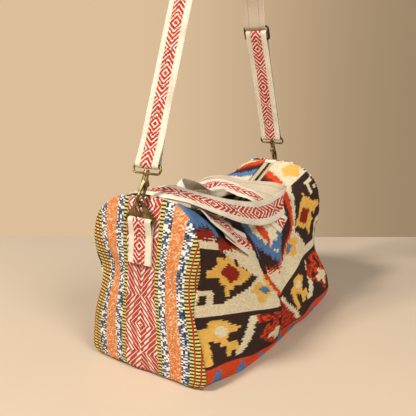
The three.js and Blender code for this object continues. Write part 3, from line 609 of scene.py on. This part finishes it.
kilim, stripes = KilimCloth().finish(), stripedCloth()
webbing, canvasPlain = webbingCloth("webbingTrim", True), webbingCloth("webbingPlain", False)
lining = plainCloth("cottonLining", dye(196, 178, 146), 0.0012)
tapeCloth = plainCloth("zipTapeCloth", dye(216, 200, 168), 0.0009)
threadCloth = plainCloth("sewingThread", dye(240, 233, 218), 0.0007)
brass = oldBrass("antiqueBrass", dye(168, 146, 96), dye(104, 88, 54), 0.36)
darkBrass = oldBrass("darkBrass", dye(92, 80, 58), dye(48, 42, 32), 0.42)
print("materials made")

# bag body
bagSet = {"seamHalf": 246.0, "endLean": 20.0, "endHalf": 126.0, "endHigh": 305.0, "waistHalf": 158.0,
          "waistHigh": 84.0, "sagHigh": 220.0, "floorRound": 300.0, "foldRound": 18.0, "saddleRound": 45.0,
          "foldAt": -28.0, "saddleAt": -8.0, "farBulge": 34.0, "thick": 4.0, "endBulge": 14.0,
          "endPinch": 22.0, "topLean": 8.0, "crest": 38.0, "zipHalf": 14.0, "gap": 0.4, "cloth": 3.4,
          "middleHigh": 110.0, "patternHalf": 240.0, "backShift": 45.0, "along": 184, "round": 244,
          "leanRound": (0.25, 0.55, 0.75, 0.97), "slumpAlong": (-0.2, 0.75, 0.8, 1.0),
          "slumpRound": (0.15, 0.32, 0.34, 0.56), "crestAlong": (0.29, 0.5, 0.35, 0.9),
          "crestRound": (0.45, 0.8, 0.8, 0.945)}
# the right end is the left one turned half round, so x and y change their sign
bagEnds = (("left", 1.0), ("right", -1.0))
seamHalf, endHalf, endHigh = bagSet["seamHalf"], bagSet["endHalf"], bagSet["endHigh"]
waistHalf, waistHigh, sagHigh = bagSet["waistHalf"], bagSet["waistHigh"], bagSet["sagHigh"]
thick, gap = bagSet["thick"], bagSet["gap"]
endKnots = np.array([
    [0, 0], [endHalf - 14, 0], [endHalf - 2, 10], [endHalf - 9, 0.23 * endHigh],
    [endHalf - bagSet["endPinch"], 0.43 * endHigh], [endHalf - 12, 0.66 * endHigh],
    [endHalf - 23, endHigh - 43], [endHalf - 62, endHigh - 6], [bagSet["zipHalf"], endHigh]], float)
waistKnots = np.array([
    [0, 0], [waistHalf - 22, 0], [waistHalf - 8, 10], [waistHalf, 0.57 * waistHigh],
    [waistHalf - 4, waistHigh], [waistHalf - 34, lerp(waistHigh, sagHigh, 0.42)],
    [waistHalf - 66, sagHigh - 26], [waistHalf - 108, sagHigh], [bagSet["zipHalf"], sagHigh]], float)


# half the bag's length at a turn, 0 under the middle and 1 at the zip: the ends lean in as they rise
def reachAt(turn):
    return seamHalf - bagSet["endLean"] * splineAt(endKnots, turn)[..., 1] / endHigh


# the shoulders lean over, the left end's to the back and the right end's to the front
def shoulderLean(turn):
    return bagSet["topLean"] * hump(turn, *bagSet["leanRound"])


# skin of the bag: the end and waist sections blended by a rounded tent of the distance from the fold,
# (hypot(x, r) - r) / (hypot(reach, r) - r), plus a slump outwards towards the far end and a crest at the back
def bagSkin(u, v, inset=0.0):
    u, v = np.broadcast_arrays(np.asarray(u, float), np.asarray(v, float))
    turn = np.minimum(np.abs(v), 1.0)
    reach = reachAt(turn)
    x = u * reach
    low = lerp(bagSet["floorRound"], bagSet["foldRound"], smooth(turn, 0.2, 0.5))
    rounding = lerp(low, bagSet["saddleRound"], np.maximum(0.0, turn - 0.5) / 0.5)
    fold = lerp(bagSet["foldAt"], bagSet["saddleAt"], smooth(turn, 0.5, 1.0))
    away = x - fold
    far = reach - np.sign(away) * fold
    blend = ((np.hypot(away, rounding) - rounding) / (np.hypot(far, rounding) - rounding))[..., None]

    def section(at):
        return lerp(splineAt(waistKnots, at), splineAt(endKnots, at), blend)

    here = section(turn)
    along = unit(section(np.minimum(turn + 0.01, 1.0)) - section(np.maximum(turn - 0.01, 0.0)))
    slump = bagSet["farBulge"] * hump(u, *bagSet["slumpAlong"]) * hump(turn, *bagSet["slumpRound"])
    spread = slump + u * np.sign(v) * shoulderLean(turn)
    half = np.maximum(here[..., 0] + spread - inset * along[..., 1], 0.0)
    crest = bagSet["crest"] * hump(u, *bagSet["crestAlong"]) * hump(-v, *bagSet["crestRound"])
    height = np.maximum(here[..., 1], 0.0) + crest + inset * along[..., 0]
    return np.stack([x, -np.sign(v) * half, height], -1)


# girth of the cloth from under the middle, as arc length of the end section
girthMarks = np.linspace(0.0, 1.0, 400)
girthRun = runLength(splineAt(endKnots, girthMarks))


def girthAt(v):
    return np.interp(np.abs(v), girthMarks, girthRun)


# the soft bag settles: the low corners and foot of each end roll in, and the back of the left end is pinched
settleSet = {"corner": 26.0, "cornerIn": 0.16, "cornerRun": (150.0, 238.0), "foot": 14.0, "footIn": 0.035,
             "footRun": (200.0, 238.0), "pinch": 9.0, "pinchAt": 158.0, "pinchHigh": 40.0,
             "pinchX": (120.0, 236.0), "pinchY": (50.0, 100.0)}


# a quarter circle of the given radius up from the floor: 1 at the floor, 0 above
def quarterRoll(height, radius):
    low = np.clip(1 - height / radius, 0.0, 1.0)
    return 1 - np.sqrt(1 - low ** 2)


def settle(points):
    x, y, z = np.moveaxis(points, -1, 0)
    corner = quarterRoll(z, settleSet["corner"]) * smooth(np.abs(x), *settleSet["cornerRun"])
    foot = quarterRoll(z, settleSet["foot"]) * smooth(np.abs(x), *settleSet["footRun"])
    pinch = (settleSet["pinch"] * bell(z, settleSet["pinchAt"], settleSet["pinchHigh"])
             * smooth(-x, *settleSet["pinchX"]) * smooth(y, *settleSet["pinchY"]))
    return np.stack([x * (1 - settleSet["footIn"] * foot),
                     y * (1 - settleSet["cornerIn"] * corner) - pinch, z], -1)


creaseSet = {"fan": 2.2, "fanReach": 240.0, "fanAt": 0.35, "fanWide": 0.3, "dents": 1.5, "gathers": 0.9,
             "gatherReach": 16.0, "gatherRate": 0.27, "tuck": 2.6, "tuckReach": 5.0,
             "slackRound": (0.17, 0.3, 0.93, 1.0)}


# soft creases in millimetres: drag lines that fan out from the fold, gathers at the seams, slow dents, and
# the cloth tucked in at the seams
def bagCreases(u, v, skin):
    turn, x = np.abs(v), skin[..., 0]
    side = np.where(v > 0, 1.0, -1.0)
    fromSeam = (1 - np.abs(u)) * seamHalf
    fromFold = (x - bagSet["foldAt"]) / creaseSet["fanReach"]
    angle = np.arctan2((turn - 0.5) * 1.6, np.abs(fromFold) + 0.05)
    fan = (np.sin(angle * 9.0 + side * 0.7 + np.sign(fromFold))
           * bell(np.abs(fromFold), creaseSet["fanAt"], creaseSet["fanWide"]))
    dents = (np.sin(x * 0.031 + turn * 9.0 + side) * np.sin(turn * 14.0 + x * 0.017)
             + 0.6 * np.sin(x * 0.057 - turn * 21.0 + 2.0 * side))
    gathers = (np.exp(-fromSeam / creaseSet["gatherReach"])
               * np.sin(girthAt(v) * creaseSet["gatherRate"] + 1.3 * side))
    slack = creaseSet["fan"] * fan + creaseSet["dents"] * dents + creaseSet["gathers"] * gathers
    tuck = creaseSet["tuck"] * bell(fromSeam, 0.0, creaseSet["tuckReach"])
    return hump(turn, *creaseSet["slackRound"]) * slack - tuck * smooth(turn, 0.1, 0.2)


# normals of the bag's skin, away from its middle
def bagNormals(points):
    normals = gridNormals(points)
    fromMiddle = points - np.array([0.0, 0.0, bagSet["middleHigh"]])
    return normals * np.sign(np.sum(normals * fromMiddle, -1, keepdims=True).mean())


gridU, gridV = shareGrid(bagSet["along"], bagSet["round"], -1.0, -1.0)
bagCloth = bagSkin(gridU, gridV)
bagCloth = bagCloth + bagNormals(bagCloth) * bagCreases(gridU, gridV, bagCloth)[..., None]
bagCloth[..., 2] = np.maximum(bagCloth[..., 2], 0.0)
bagCloth = settle(bagCloth)
bagOut = bagNormals(bagCloth)
# the back panel's figures sit further to the right than the front's
backShift = bagSet["backShift"] * smooth(-gridV, 0.02, 0.3)
bagUv = np.stack([gridU * bagSet["patternHalf"] - backShift, girthAt(gridV)], -1)
bagShell = shellPiece("bag_shell", bagCloth[::-1], bagOut[::-1], bagSet["cloth"], bagUv[::-1],
                      [kilim, lining], "bag")
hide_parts("body_panel")
print("bag shell:", len(bagShell.data.polygons), "faces")

# end panels
endSet = {"across": 120, "rise": 190, "corner": 0.19, "cloth": 3.2, "puffPower": 0.45, "pinchAt": 165.0,
          "pinchHigh": 70.0, "sag": 5.0, "sagAt": 168.0, "buckle": 9.0, "buckleAt": 180.0, "buckleHigh": 26.0,
          "tuck": 2.8, "tuckReach": 5.0, "calm": 14.0, "tabHalf": 34.0, "tabAt": 240.0, "tabHigh": 62.0,
          "halfWide": 120.0, "riseLong": 420.0, "backSide": (0.62, 0.28)}


# how far out the end panel's skin lies at a height: the leaning seam line, then a puff, (4s(1 - s))^0.45 of
# the share s of the height, times its fullness
def endOut(height, fullness=1.0):
    share = height / endHigh
    puff = bagSet["endBulge"] * fullness * np.maximum(4 * share * (1 - share), 0.0) ** endSet["puffPower"]
    return seamHalf - bagSet["endLean"] * share + gap + thick + puff


# puffed arch: across -1 to 1 between the seams, rise 0 at the floor to 1 at the top
def endSkin(across, rise):
    turn = lerp(endSet["corner"], 1.0, rise)
    seam = splineAt(endKnots, turn)
    height = np.clip(seam[..., 1], 0.0, endHigh)
    y = across * seam[..., 0] + shoulderLean(turn)
    return np.stack([-endOut(height, 1 - across ** 4), y, height], -1)


# dents of the end: a slack buckle at half height on each side, slow ripples, none of them under the tab, and
# a tucked seam edge
def endCreases(across, rise, skin):
    y, height = skin[..., 1], skin[..., 2]
    tall = endSet["buckleHigh"]
    sag = endSet["sag"] * bell(height, endSet["sagAt"], tall) * across ** 2
    buckle = endSet["buckle"] * bell(height, endSet["buckleAt"], tall) * bell(across, *endSet["backSide"])
    ripple = (1.3 * np.sin(y * 0.05 + height * 0.021) * np.sin(height * 0.033 + 0.8)
              + 0.8 * np.sin(y * 0.11 - height * 0.05))
    fromFoot = np.minimum(rise, 1 - rise) * endSet["riseLong"]
    edge = np.minimum((1 - np.abs(across)) * endSet["halfWide"], fromFoot)
    above = (height - endSet["tabAt"]) / endSet["tabHigh"]
    offTab = 1 - np.exp(-((y / endSet["tabHalf"]) ** 4 + above ** 4))
    slack = ripple * (1 - bell(edge, 0.0, endSet["calm"])) - sag - buckle
    return slack * offTab - endSet["tuck"] * bell(edge, 0.0, endSet["tuckReach"])


# normals turned to point, on the whole, along x by way, +1 or -1
def facing(normals, way):
    return normals * (way * np.sign(normals[..., 0].mean()))


endAcross, endRise = shareGrid(endSet["across"], endSet["rise"], -1.0)
for endName, turned in bagEnds:
    skin = endSkin(endAcross, endRise)
    skin = skin + facing(gridNormals(skin), -1.0) * endCreases(endAcross, endRise, skin)[..., None]
    skin[..., 2] = np.maximum(skin[..., 2], 0.0)
    # the stripes follow the pinched sides
    pinch = bagSet["endPinch"] * bell(skin[..., 2], endSet["pinchAt"], endSet["pinchHigh"])
    uv = np.stack([skin[..., 1] * endHalf / (endHalf - pinch), skin[..., 2]], -1)
    skin = settle(skin * np.array([turned, turned, 1.0]))
    out = facing(gridNormals(skin), -turned)
    alike = out[..., 0].mean() * np.cross(skin[1, 0] - skin[0, 0], skin[0, 1] - skin[0, 0])[0]
    order = slice(None) if alike > 0 else slice(None, None, -1)
    panel = shellPiece(endName + "_end_cloth", skin[order], out[order], endSet["cloth"], uv[order],
                       [stripes, lining], "bag")
    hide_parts(endName + "_end_panel")
print("end panels made")

# zip
zipSet = {"lap": 16.0, "lapRun": 300.0, "tape": 1.2, "split": 0.9, "width": 2.4, "pitch": 3.0, "length": 1.5,
          "high": 2.6, "extra": 0.8, "shift": 0.1, "drop": 0.7, "rows": 150, "cols": 11, "margin": 4.0}
zipReach = float(reachAt(np.array(1.0)))
zipHalf = zipReach - zipSet["margin"]


def zipHeight(x):
    return bagSkin(x / zipReach, np.ones_like(x), thick + gap)[..., 2]


# a tape runs flat from its teeth to the panel's edge and laps under the panel
def tapeSkin(side, along, edge):
    x = (2 * along - 1) * zipHalf
    u = x / zipReach
    drop = thick + 1.5 * gap
    rim = bagSkin(u, side * np.ones_like(u), drop)
    lap = bagSkin(u, side * (1 - zipSet["lap"] / zipSet["lapRun"] * np.maximum(edge - 0.5, 0.0) * 2), drop)
    inner = -side * (zipSet["split"] + zipSet["width"] + gap)
    flat = np.stack([x, lerp(inner, rim[..., 1], np.minimum(edge * 2, 1.0)), zipHeight(x)], -1)
    return np.where((edge > 0.5)[..., None], np.stack([x, lap[..., 1], lap[..., 2]], -1), flat)


tapeAlong, tapeEdge = shareGrid(zipSet["rows"], zipSet["cols"])
# a tooth: a block with its upper face drawn in
square = np.array([[-1, -1], [1, -1], [1, 1], [-1, 1]], float)
toothCorners = np.vstack([np.column_stack([square * share, np.full(4, level)])
                          for share, level in ((1.0, -1.0), (0.8, 1.0))])
toothFaces = np.array([[3, 2, 1, 0], [4, 5, 6, 7], [0, 1, 5, 4], [1, 2, 6, 5], [2, 3, 7, 6], [3, 0, 4, 7]])
toothHalf = np.array([zipSet["length"], zipSet["width"] + zipSet["extra"], zipSet["high"]]) / 2
for zipName, side in (("front", 1.0), ("back", -1.0)):
    skin = tapeSkin(side, tapeAlong, tapeEdge)[::-int(side)]
    tape = shellPiece("zip_tape_cloth_" + zipName, skin, gridNormals(skin), zipSet["tape"],
                      np.zeros(skin.shape[:2] + (2,)), [tapeCloth, tapeCloth], "bag")
    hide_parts("zip_tape_" + zipName)
    # teeth at an even pitch, the two rows half a pitch apart so that they mesh
    start = -zipHalf + zipSet["pitch"] * (0.75 if side > 0 else 1.25)
    x = np.arange(start, zipHalf - zipSet["pitch"], zipSet["pitch"])
    none, one = np.zeros_like(x), np.ones_like(x)
    aside = -side * ((zipSet["split"] + zipSet["width"]) / 2 + zipSet["shift"])
    slope = np.gradient(zipHeight(x), x)
    points = copiesAt(np.stack([x, aside * one, zipHeight(x) - zipSet["drop"]], -1),
                      unit(np.stack([one, none, slope], -1)), np.stack([none, one, none], -1),
                      unit(np.stack([-slope, none, one], -1)), toothCorners * toothHalf)
    faces = (toothFaces[None] + np.arange(len(x))[:, None, None] * len(toothCorners)).reshape(-1, 4)
    teeth = newPiece("zip_teeth_row_" + zipName, points, faces, brass, "bag", flat=True)
    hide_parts("zip_teeth_" + zipName)

# zip stops: a canvas patch from panel edge to panel edge, over the tapes' ends and up to the end panel's seam
stopSet = {"over": 3.0, "beyond": 6.6, "inset": 0.4, "rise": 0.8, "seamHigh": 303.0, "thick": 1.0, "dip": 0.7,
           "rows": 13, "cols": 17}
stopAlong, stopAcross = shareGrid(stopSet["rows"], stopSet["cols"])
for endName, turned in bagEnds:
    x = -turned * lerp(zipHalf - stopSet["over"], zipHalf + stopSet["beyond"], stopAlong)
    held = np.clip(x, -zipHalf, zipHalf)
    front, back = (bagSkin(held / zipReach, v * np.ones_like(x), thick)[..., 1] for v in (1.0, -1.0))
    y = lerp(front + stopSet["inset"], back - stopSet["inset"], stopAcross)
    climb = smooth(np.abs(x), zipHalf, zipHalf + stopSet["beyond"])
    z = lerp(zipHeight(held) + stopSet["rise"], stopSet["seamHigh"], climb)
    z = z - stopSet["dip"] * np.sin(np.pi * stopAcross)
    skin, uv = np.stack([x, y, z], -1)[::int(turned)], np.stack([y, x], -1)[::int(turned)]
    shellPiece("zip_stop_" + endName, skin, gridNormals(skin), stopSet["thick"], uv,
               [canvasPlain, canvasPlain], "bag")
print("zip made")

# webbing
webSet = {"half": 23.5, "core": 1.45, "pad": 0.5, "trim": 11.8, "raise": 0.4, "step": 3.5, "points": 57}


# section of the webbing, from the middle of its plain face round to there again: padded cream borders
# (a half sine wave of the distance over each border) and a raised trim in the middle of the good face
def webProfile(half, core, pad):
    across = np.sin(np.linspace(-np.pi / 2, np.pi / 2, webSet["points"])) * half
    away, trim = np.abs(across), webSet["trim"]
    edge = np.sqrt(np.maximum(1 - (away / half) ** 10, 0.0))
    border = np.clip((away - trim) / (half - trim), 0.0, 1.0)
    inTrim = 1 - smooth(away, trim - 0.9, trim - 0.2)
    top = np.stack([across, core * edge + pad * np.sin(np.pi * border) + webSet["raise"] * inTrim], 1)
    base = np.stack([across, -core * edge], 1)[::2]
    middle = len(base) // 2
    loop = np.concatenate([base[middle::-1], top[1:-1], base[:middle:-1]])
    run = runLength(np.vstack([loop, loop[:1]]))
    return loop, run - run[-1] / 2


# a run of webbing in place of its CAD solid; where side, face and path are left-handed, the section runs the
# other way round
def webBand(name, path, side, face, marks, section, body, replaced):
    profile, across = section
    if np.sum(np.cross(side, face) * np.gradient(path, axis=0)) < 0:
        profile, across = np.roll(profile[::-1], 1, axis=0), across[::-1]
    piece = bandPiece(name, path, side, face, profile, marks, across, webbing, body)
    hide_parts(*replaced)


stitchSet = {"length": 2.3, "radius": 0.34, "pitch": 3.4, "inset": 12.9, "lift": 1.7, "tabLift": 1.3}


# two rows of stitches that hold the trim, just outside its edges on the good face
def trimStitches(name, path, side, face, lift, body):
    even, _, sides, outs = evenSteps(path, stitchSet["pitch"], side, face)
    sides, outs = unit(sides), unit(outs)
    heading = unit(np.gradient(even, axis=0))
    rows = [even + sides * stitchSet["inset"] * way + outs * lift for way in (-1, 1)]
    heading, sides, outs = (np.tile(directions, (2, 1)) for directions in (heading, sides, outs))
    stitchPiece(name, np.concatenate(rows), heading, sides, outs, stitchSet, threadCloth, body)


# carry handles: each knot is a place on the middle line and the direction of the webbing's upper edge there
handleSet = {"flat": 0.52, "bent": 1.28, "hollow": 2.25, "clear": 2.0, "anchor": 78.0, "lap": 26.0,
             "lapStep": 4.8, "lapRun": (9.0, 38.0), "repeat": 1.5, "dense": 2400}
flat, bent, hollow = handleSet["flat"], handleSet["bent"], handleSet["hollow"]


# a knot laid flat on the cloth at (u, v), heading (du, dv), standing a little clear
def seat(u, v, du, dv, stand):
    step = 0.01
    here = bagSkin(u, v)
    alongU, alongV = bagSkin(u + step, v) - here, bagSkin(u, v + step) - here
    out = unit(np.cross(alongU, alongV))
    upper = np.cross(unit(alongU * du + alongV * dv), out) * np.sign(v)
    return [here + out * (handleSet["clear"] + stand), upper]


# a knot in the air, as shares of half the length, half the width and the height of the bag
def raised(along, across, up, *upper):
    return [np.array([along * seamHalf, across * endHalf, up * endHigh]), np.array(upper)]


frontKnots = [
    seat(-0.32, 0.725, -1, 0.2, flat), seat(-0.48, 0.755, -1, 0.2, flat), seat(-0.64, 0.8, -1, 0.45, flat),
    raised(-0.6748, -0.4365, 0.9246, 0.79, 0.59, -0.15), raised(-0.687, -0.1349, 0.9672, 0.97, 0, -0.02),
    raised(-0.6016, 0.0952, 0.9869, 0.5, -0.65, 0.5), raised(-0.4472, 0.1746, 0.9574, 0.1, -0.4, 0.9),
    raised(-0.2927, 0.1905, 0.9344, -0.1, -0.7, 0.65), raised(-0.1463, 0.1587, 0.9246, -0.15, -0.93, -0.1),
    raised(-0.0325, 0.1111, 0.9311, -0.52, -0.76, -0.2), raised(0.0569, 0.0159, 0.9246, -0.75, -0.6, -0.25),
    raised(0.0976, -0.2063, 0.8918, -0.9, -0.4, -0.25), raised(0.1463, -0.4286, 0.8393, -0.95, -0.25, -0.15),
    raised(0.1992, -0.619, 0.7705, -0.96, -0.15, -0.2),
    seat(0.26, 0.76, 0.4, -1, bent), seat(0.295, 0.715, 0.3, -1, bent)]
backKnots = [
    seat(-0.32, -0.725, -1, -0.2, flat), seat(-0.5, -0.76, -1, -0.2, flat),
    seat(-0.66, -0.8, -1, -0.45, flat),
    raised(-0.7561, 0.381, 0.977, 0.85, -0.4, 0), raised(-0.7927, 0.0159, 1.0131, 0.95, 0.05, 0.15),
    raised(-0.7602, -0.3175, 1, 0.6, 0.72, 0.3), raised(-0.6098, -0.5794, 0.9377, 0.35, 0.75, 0.55),
    raised(-0.374, -0.6905, 0.8623, 0.25, 0.6, 0.75), raised(-0.1138, -0.7698, 0.8066, 0.22, 0.45, 0.86),
    raised(0.1463, -0.8016, 0.7967, 0.25, 0.35, 0.9), raised(0.2967, -0.8016, 0.8262, 0.3, 0.1, 0.95),
    raised(0.386, -0.6, 0.85, 0.7, -0.2, 0.66), raised(0.355, -0.33, 0.872, 0.88, 0.05, 0.42),
    raised(0.28, -0.02, 0.882, 0.75, 0.45, 0.45), raised(0.21, 0.28, 0.88, 0.2, 0.45, 0.85),
    raised(0.18, 0.56, 0.83, -0.6, 0.5, 0.55),
    seat(0.185, -0.765, 0.15, 1, hollow), seat(0.2, -0.71, 0.15, 1, hollow)]
handleSection = webProfile(webSet["half"], webSet["core"], webSet["pad"])
for handleName, knots, faceOut in (("front", frontKnots, -1.0), ("back", backKnots, 1.0)):
    shares = np.linspace(0, 1, handleSet["dense"])
    line, edge = (curveAt([knot[part] for knot in knots], shares) for part in (0, 1))
    line, marks, edge = evenSteps(line, webSet["step"], edge)
    heading = unit(np.gradient(line, axis=0))
    upper = unit(edge - heading * np.sum(edge * heading, 1, keepdims=True))
    face = np.cross(heading, upper) * faceOut
    # the handle laps over its sewn ends and comes down to the middle line beyond them
    anchor, fromEnd = handleSet["anchor"], np.minimum(marks, marks[-1] - marks)
    lift = handleSet["lapStep"] * (1 - smooth(fromEnd - anchor, *handleSet["lapRun"]))
    spans = {"_handle": (fromEnd >= anchor - handleSet["lap"], line + face * lift[:, None]),
             "_handle_anchor_left": (marks <= anchor, line),
             "_handle_anchor_right": (marks >= marks[-1] - anchor, line)}
    for suffix, (chosen, path) in spans.items():
        name = handleName + suffix
        run = path[chosen], upper[chosen], face[chosen]
        webBand(name + "_web", *run, marks[chosen] / handleSet["repeat"], handleSection, "bag", [name])
        trimStitches(name + "_stitches", *run, stitchSet["lift"], "bag")
print("handles made")


# a band on the centre plane through knots (x, z): its line in even steps, its side and face, and the marks
def planeBand(knots, dense, step):
    x, z = np.array(knots).T
    line, marks = evenSteps(curveAt(np.stack([x, np.zeros_like(x), z], 1), np.linspace(0, 1, dense)), step)
    heading = unit(np.gradient(line, axis=0))
    none = np.zeros(len(line))
    side = np.stack([none, none + 1, none], 1)
    return line, side, np.stack([-heading[:, 2], none, heading[:, 0]], 1), marks


# shoulder strap, flat on the centre plane: along runs up a leg from its loop bar, out is away from the middle
strapSet = {"seat": (-249.461, 293.685), "lean": math.radians(21.0), "bar": 67.0, "barBend": 4.7,
            "legOut": 2.0, "slideAt": 238.0, "slideBend": 4.9, "slot": 13.0, "doubled": 2.6, "turned": 1.7,
            "arch": 90.0, "sewn": 45.0, "clear": 14.0, "dense": 6000, "step": 2.0}
lean, barBend, legOut, clear = (strapSet[key] for key in ("lean", "barBend", "legOut", "clear"))


def legPoint(side, along, out):
    run = strapSet["bar"] + along
    x = strapSet["seat"][0] + run * math.sin(lean) - out * math.cos(lean)
    z = strapSet["seat"][1] + run * math.cos(lean) + out * math.sin(lean)
    return [-side * x, z]


# a list of leg points from pairs of along and out
def legLine(side, *pairs):
    return [legPoint(side, along, out) for along, out in pairs]


# the bend round the loop bar, from under it to one face of the leg
def bendRound(side, way):
    angles = [share * math.pi for share in (-0.5, -0.3, -0.1, 0.1)]
    return legLine(side, *((barBend * math.sin(p), way * barBend * math.cos(p)) for p in angles))


slideAt, bend, slot = strapSet["slideAt"], strapSet["slideBend"], strapSet["slot"]
doubled, turnedIn, arch = strapSet["doubled"], strapSet["turned"], strapSet["arch"]
foot = legPoint(-1, 0, legOut)
archAt = foot[1] + (-foot[0] - arch / math.cos(lean)) / math.tan(lean)
archLine = [[arch * math.cos(p), archAt + arch * math.sin(p)] for p in np.linspace(math.pi - lean, lean, 15)]
# course of the strap: the left end sewn back, up the left leg, over the arch, down through the adjuster,
# round the right loop bar and back up to the adjuster
leftReturn = bendRound(-1, -1)[:-1] + legLine(
    -1, (clear, 1.4 - barBend), (30, -turnedIn), (strapSet["sewn"], -turnedIn))
leftLeg = bendRound(-1, 1) + legLine(
    -1, (clear, barBend - 1), *((along, legOut) for along in (30, 90, 150, 210, 270)))
rightLeg = legLine(
    1, (slideAt + 70, legOut), (slideAt + 44, 0), (slideAt + slot + 4, -bend), (slideAt + slot, -bend),
    (slideAt + 9, 2 - bend), (slideAt + 4, bend - 2), (slideAt, bend), (slideAt - slot, bend),
    (slideAt - 60, doubled), (slideAt - 120, doubled), (60, doubled), (30, doubled),
    (clear, barBend - 1)) + bendRound(1, 1)[::-1]
rightReturn = bendRound(1, -1)[:-1] + legLine(
    1, (clear, 1 - barBend), (30, -doubled), (60, -doubled), (118, -doubled), (slideAt - 60, -doubled),
    (slideAt - slot, -bend), (slideAt, -bend), (slideAt + 3, 1.4 - bend), (slideAt + 6, 0))
strapKnots = leftReturn[::-1] + leftLeg[1:] + archLine + rightLeg + rightReturn[1:]
*strapRun, strapMarks = planeBand(strapKnots, strapSet["dense"], strapSet["step"])
webBand("shoulder_strap_web", *strapRun, strapMarks, handleSection, "strap", ["shoulder_strap"])
trimStitches("shoulder_strap_stitches", *strapRun, stitchSet["lift"], "strap")
print("strap made: %.0f mm of webbing" % strapMarks[-1])

# end tabs: webbing folded over the ring's bar, back layer up, round the bar and down in front
tabSet = {"layer": 3.0, "bottom": 198.0, "top": 245.0, "barX": -248.6, "barZ": 269.0, "radius": 4.5,
          "core": 1.0, "pad": 0.45, "squeeze": 0.2, "shown": 0.56, "dense": 1500, "step": 1.6}
tabHeights = np.linspace(tabSet["bottom"], tabSet["top"], 6)
foldAngles = np.linspace(0, math.pi, 11)
seatX = -endOut(tabHeights) - gap
backLayer = np.stack([seatX - tabSet["layer"] / 2, tabHeights], 1)
foldLayer = np.stack([tabSet["barX"] + tabSet["radius"] * np.cos(foldAngles),
                      tabSet["barZ"] + tabSet["radius"] * np.sin(foldAngles)], 1)
frontLayer = np.stack([seatX - tabSet["layer"] * 1.5 + tabSet["squeeze"], tabHeights], 1)[::-1]
tabSection = webProfile(webSet["half"], tabSet["core"], tabSet["pad"])
tabLine, tabSide, tabFace, tabMarks = planeBand(
    np.concatenate([backLayer, foldLayer, frontLayer]), tabSet["dense"], tabSet["step"])
shown = tabMarks > tabMarks[-1] * tabSet["shown"]
for endName, turned in bagEnds:
    spin = np.array([turned, turned, 1.0])
    run = [part * spin for part in (tabLine, tabSide, -tabFace)]
    webBand(endName + "_tab_web", *run, tabMarks, tabSection, "bag", [endName + "_tab"])
    trimStitches(endName + "_tab_stitches", *(part[shown] for part in run), stitchSet["tabLift"], "bag")
print("tabs made")

# metal parts keep their CAD shapes
metalKind = {"gate_pin": darkBrass, "strap_adjuster": darkBrass, "triangle_ring": brass, "hook": brass,
             "hook_gate": brass, "swivel_loop": brass, "zip_slider": brass, "zip_pull": brass}
for nodeName, node in nodes.items():
    kind = nodeName.replace("left_", "").replace("right_", "")
    if kind in metalKind:
        node.data.materials.clear()
        node.data.materials.append(metalKind[kind])

# floor: a pale board that ends behind the bag, square to the camera's heading
floorSet = {"wide": 3.0, "near": 1.5, "far": 0.56, "below": 0.0005}
heading = math.radians(-cameraSet["turn"])
forward = np.array([math.sin(heading), math.cos(heading), 0.0])
rightward = np.array([math.cos(heading), -math.sin(heading), 0.0])
floorPoints = [tuple(forward * ahead + rightward * aside * floorSet["wide"] / 2) for ahead, aside in (
    (-floorSet["near"], -1), (-floorSet["near"], 1), (floorSet["far"], 1), (floorSet["far"], -1))]
floorMesh = bpy.data.meshes.new("studioFloor")
floorMesh.from_pydata(floorPoints, [], [[0, 1, 2, 3]])
floorFinish = Finish("paleFloor", 0.8)
floorFinish.colour(floorFinish.over(dye(208, 188, 164), dye(202, 181, 157), floorFinish.cloud(3.0)))
floorMesh.materials.append(floorFinish.material)
floorObject = bpy.data.objects.new("studioFloor", floorMesh)
floorObject.location = (0.0, 0.0, -floorSet["below"])
scene.collection.objects.link(floorObject)

# light: a soft key from the upper left and a weaker one from the front
lightSet = {"softKey": {"at": (-2.6, 1.24, 3.2), "size": 0.9, "power": 172.0, "colour": (1.0, 0.965, 0.915)},
            "frontFill": {"at": (-1.2, -2.6, 2.4), "size": 1.5, "power": 80.0, "colour": (1.0, 0.965, 0.91)}}
aimAt = np.array([0.0, 0.0, 0.15])


def areaLight(name, at, size, power, colour):
    data = bpy.data.lights.new(name, "AREA")
    data.shape = "DISK"
    data.size = size
    data.energy = power
    data.color = colour
    lamp = bpy.data.objects.new(name, data)
    lamp.location = at
    aim = aimAt - np.array(at)
    lamp.rotation_euler = (math.atan2(math.hypot(aim[0], aim[1]), -aim[2]), 0.0,
                           math.atan2(aim[1], aim[0]) - math.pi / 2)
    scene.collection.objects.link(lamp)


for lampName, lampSet in lightSet.items():
    areaLight(lampName, **lampSet)

# the room: an even warm fill lights the bag, and the camera sees a wall with painted shade that darkens it
# from left to right
roomSet = {"fill": 0.2, "tint": (1.0, 0.94, 0.86, 1.0), "left": dye(220, 190, 154),
           "right": dye(158, 134, 106), "turn": (-0.15, 0.4)}
world = bpy.data.worlds.new("warmRoom")
world.use_nodes = True
scene.world = world
tree = world.node_tree
fill = tree.nodes["Background"]
feed(tree, fill.inputs["Color"], roomSet["tint"])
feed(tree, fill.inputs["Strength"], roomSet["fill"])
gaze = newNode(tree, "TexCoord", {}).outputs["Generated"]
sideways = newNode(tree, "VectorMath", {0: gaze, 1: tuple(rightward)}, operation="DOT_PRODUCT")
across = Wire(tree, sideways.outputs["Value"]).ramp(*roomSet["turn"])
# painted shade: the wall's colour goes from lit on the left to shaded on the right
wallPaintedShade = newNode(tree, "Mix", {0: across, 6: roomSet["left"], 7: roomSet["right"]}, data_type="RGBA")
wall = newNode(tree, "Background", {"Color": wallPaintedShade.outputs[2]})
byCamera = newNode(tree, "LightPath", {}).outputs["Is Camera Ray"]
seen = newNode(tree, "MixShader", {0: byCamera, 1: fill.outputs[0], 2: wall.outputs[0]})
feed(tree, tree.nodes["World Output"].inputs["Surface"], seen.outputs[0])
print("stage and light set")
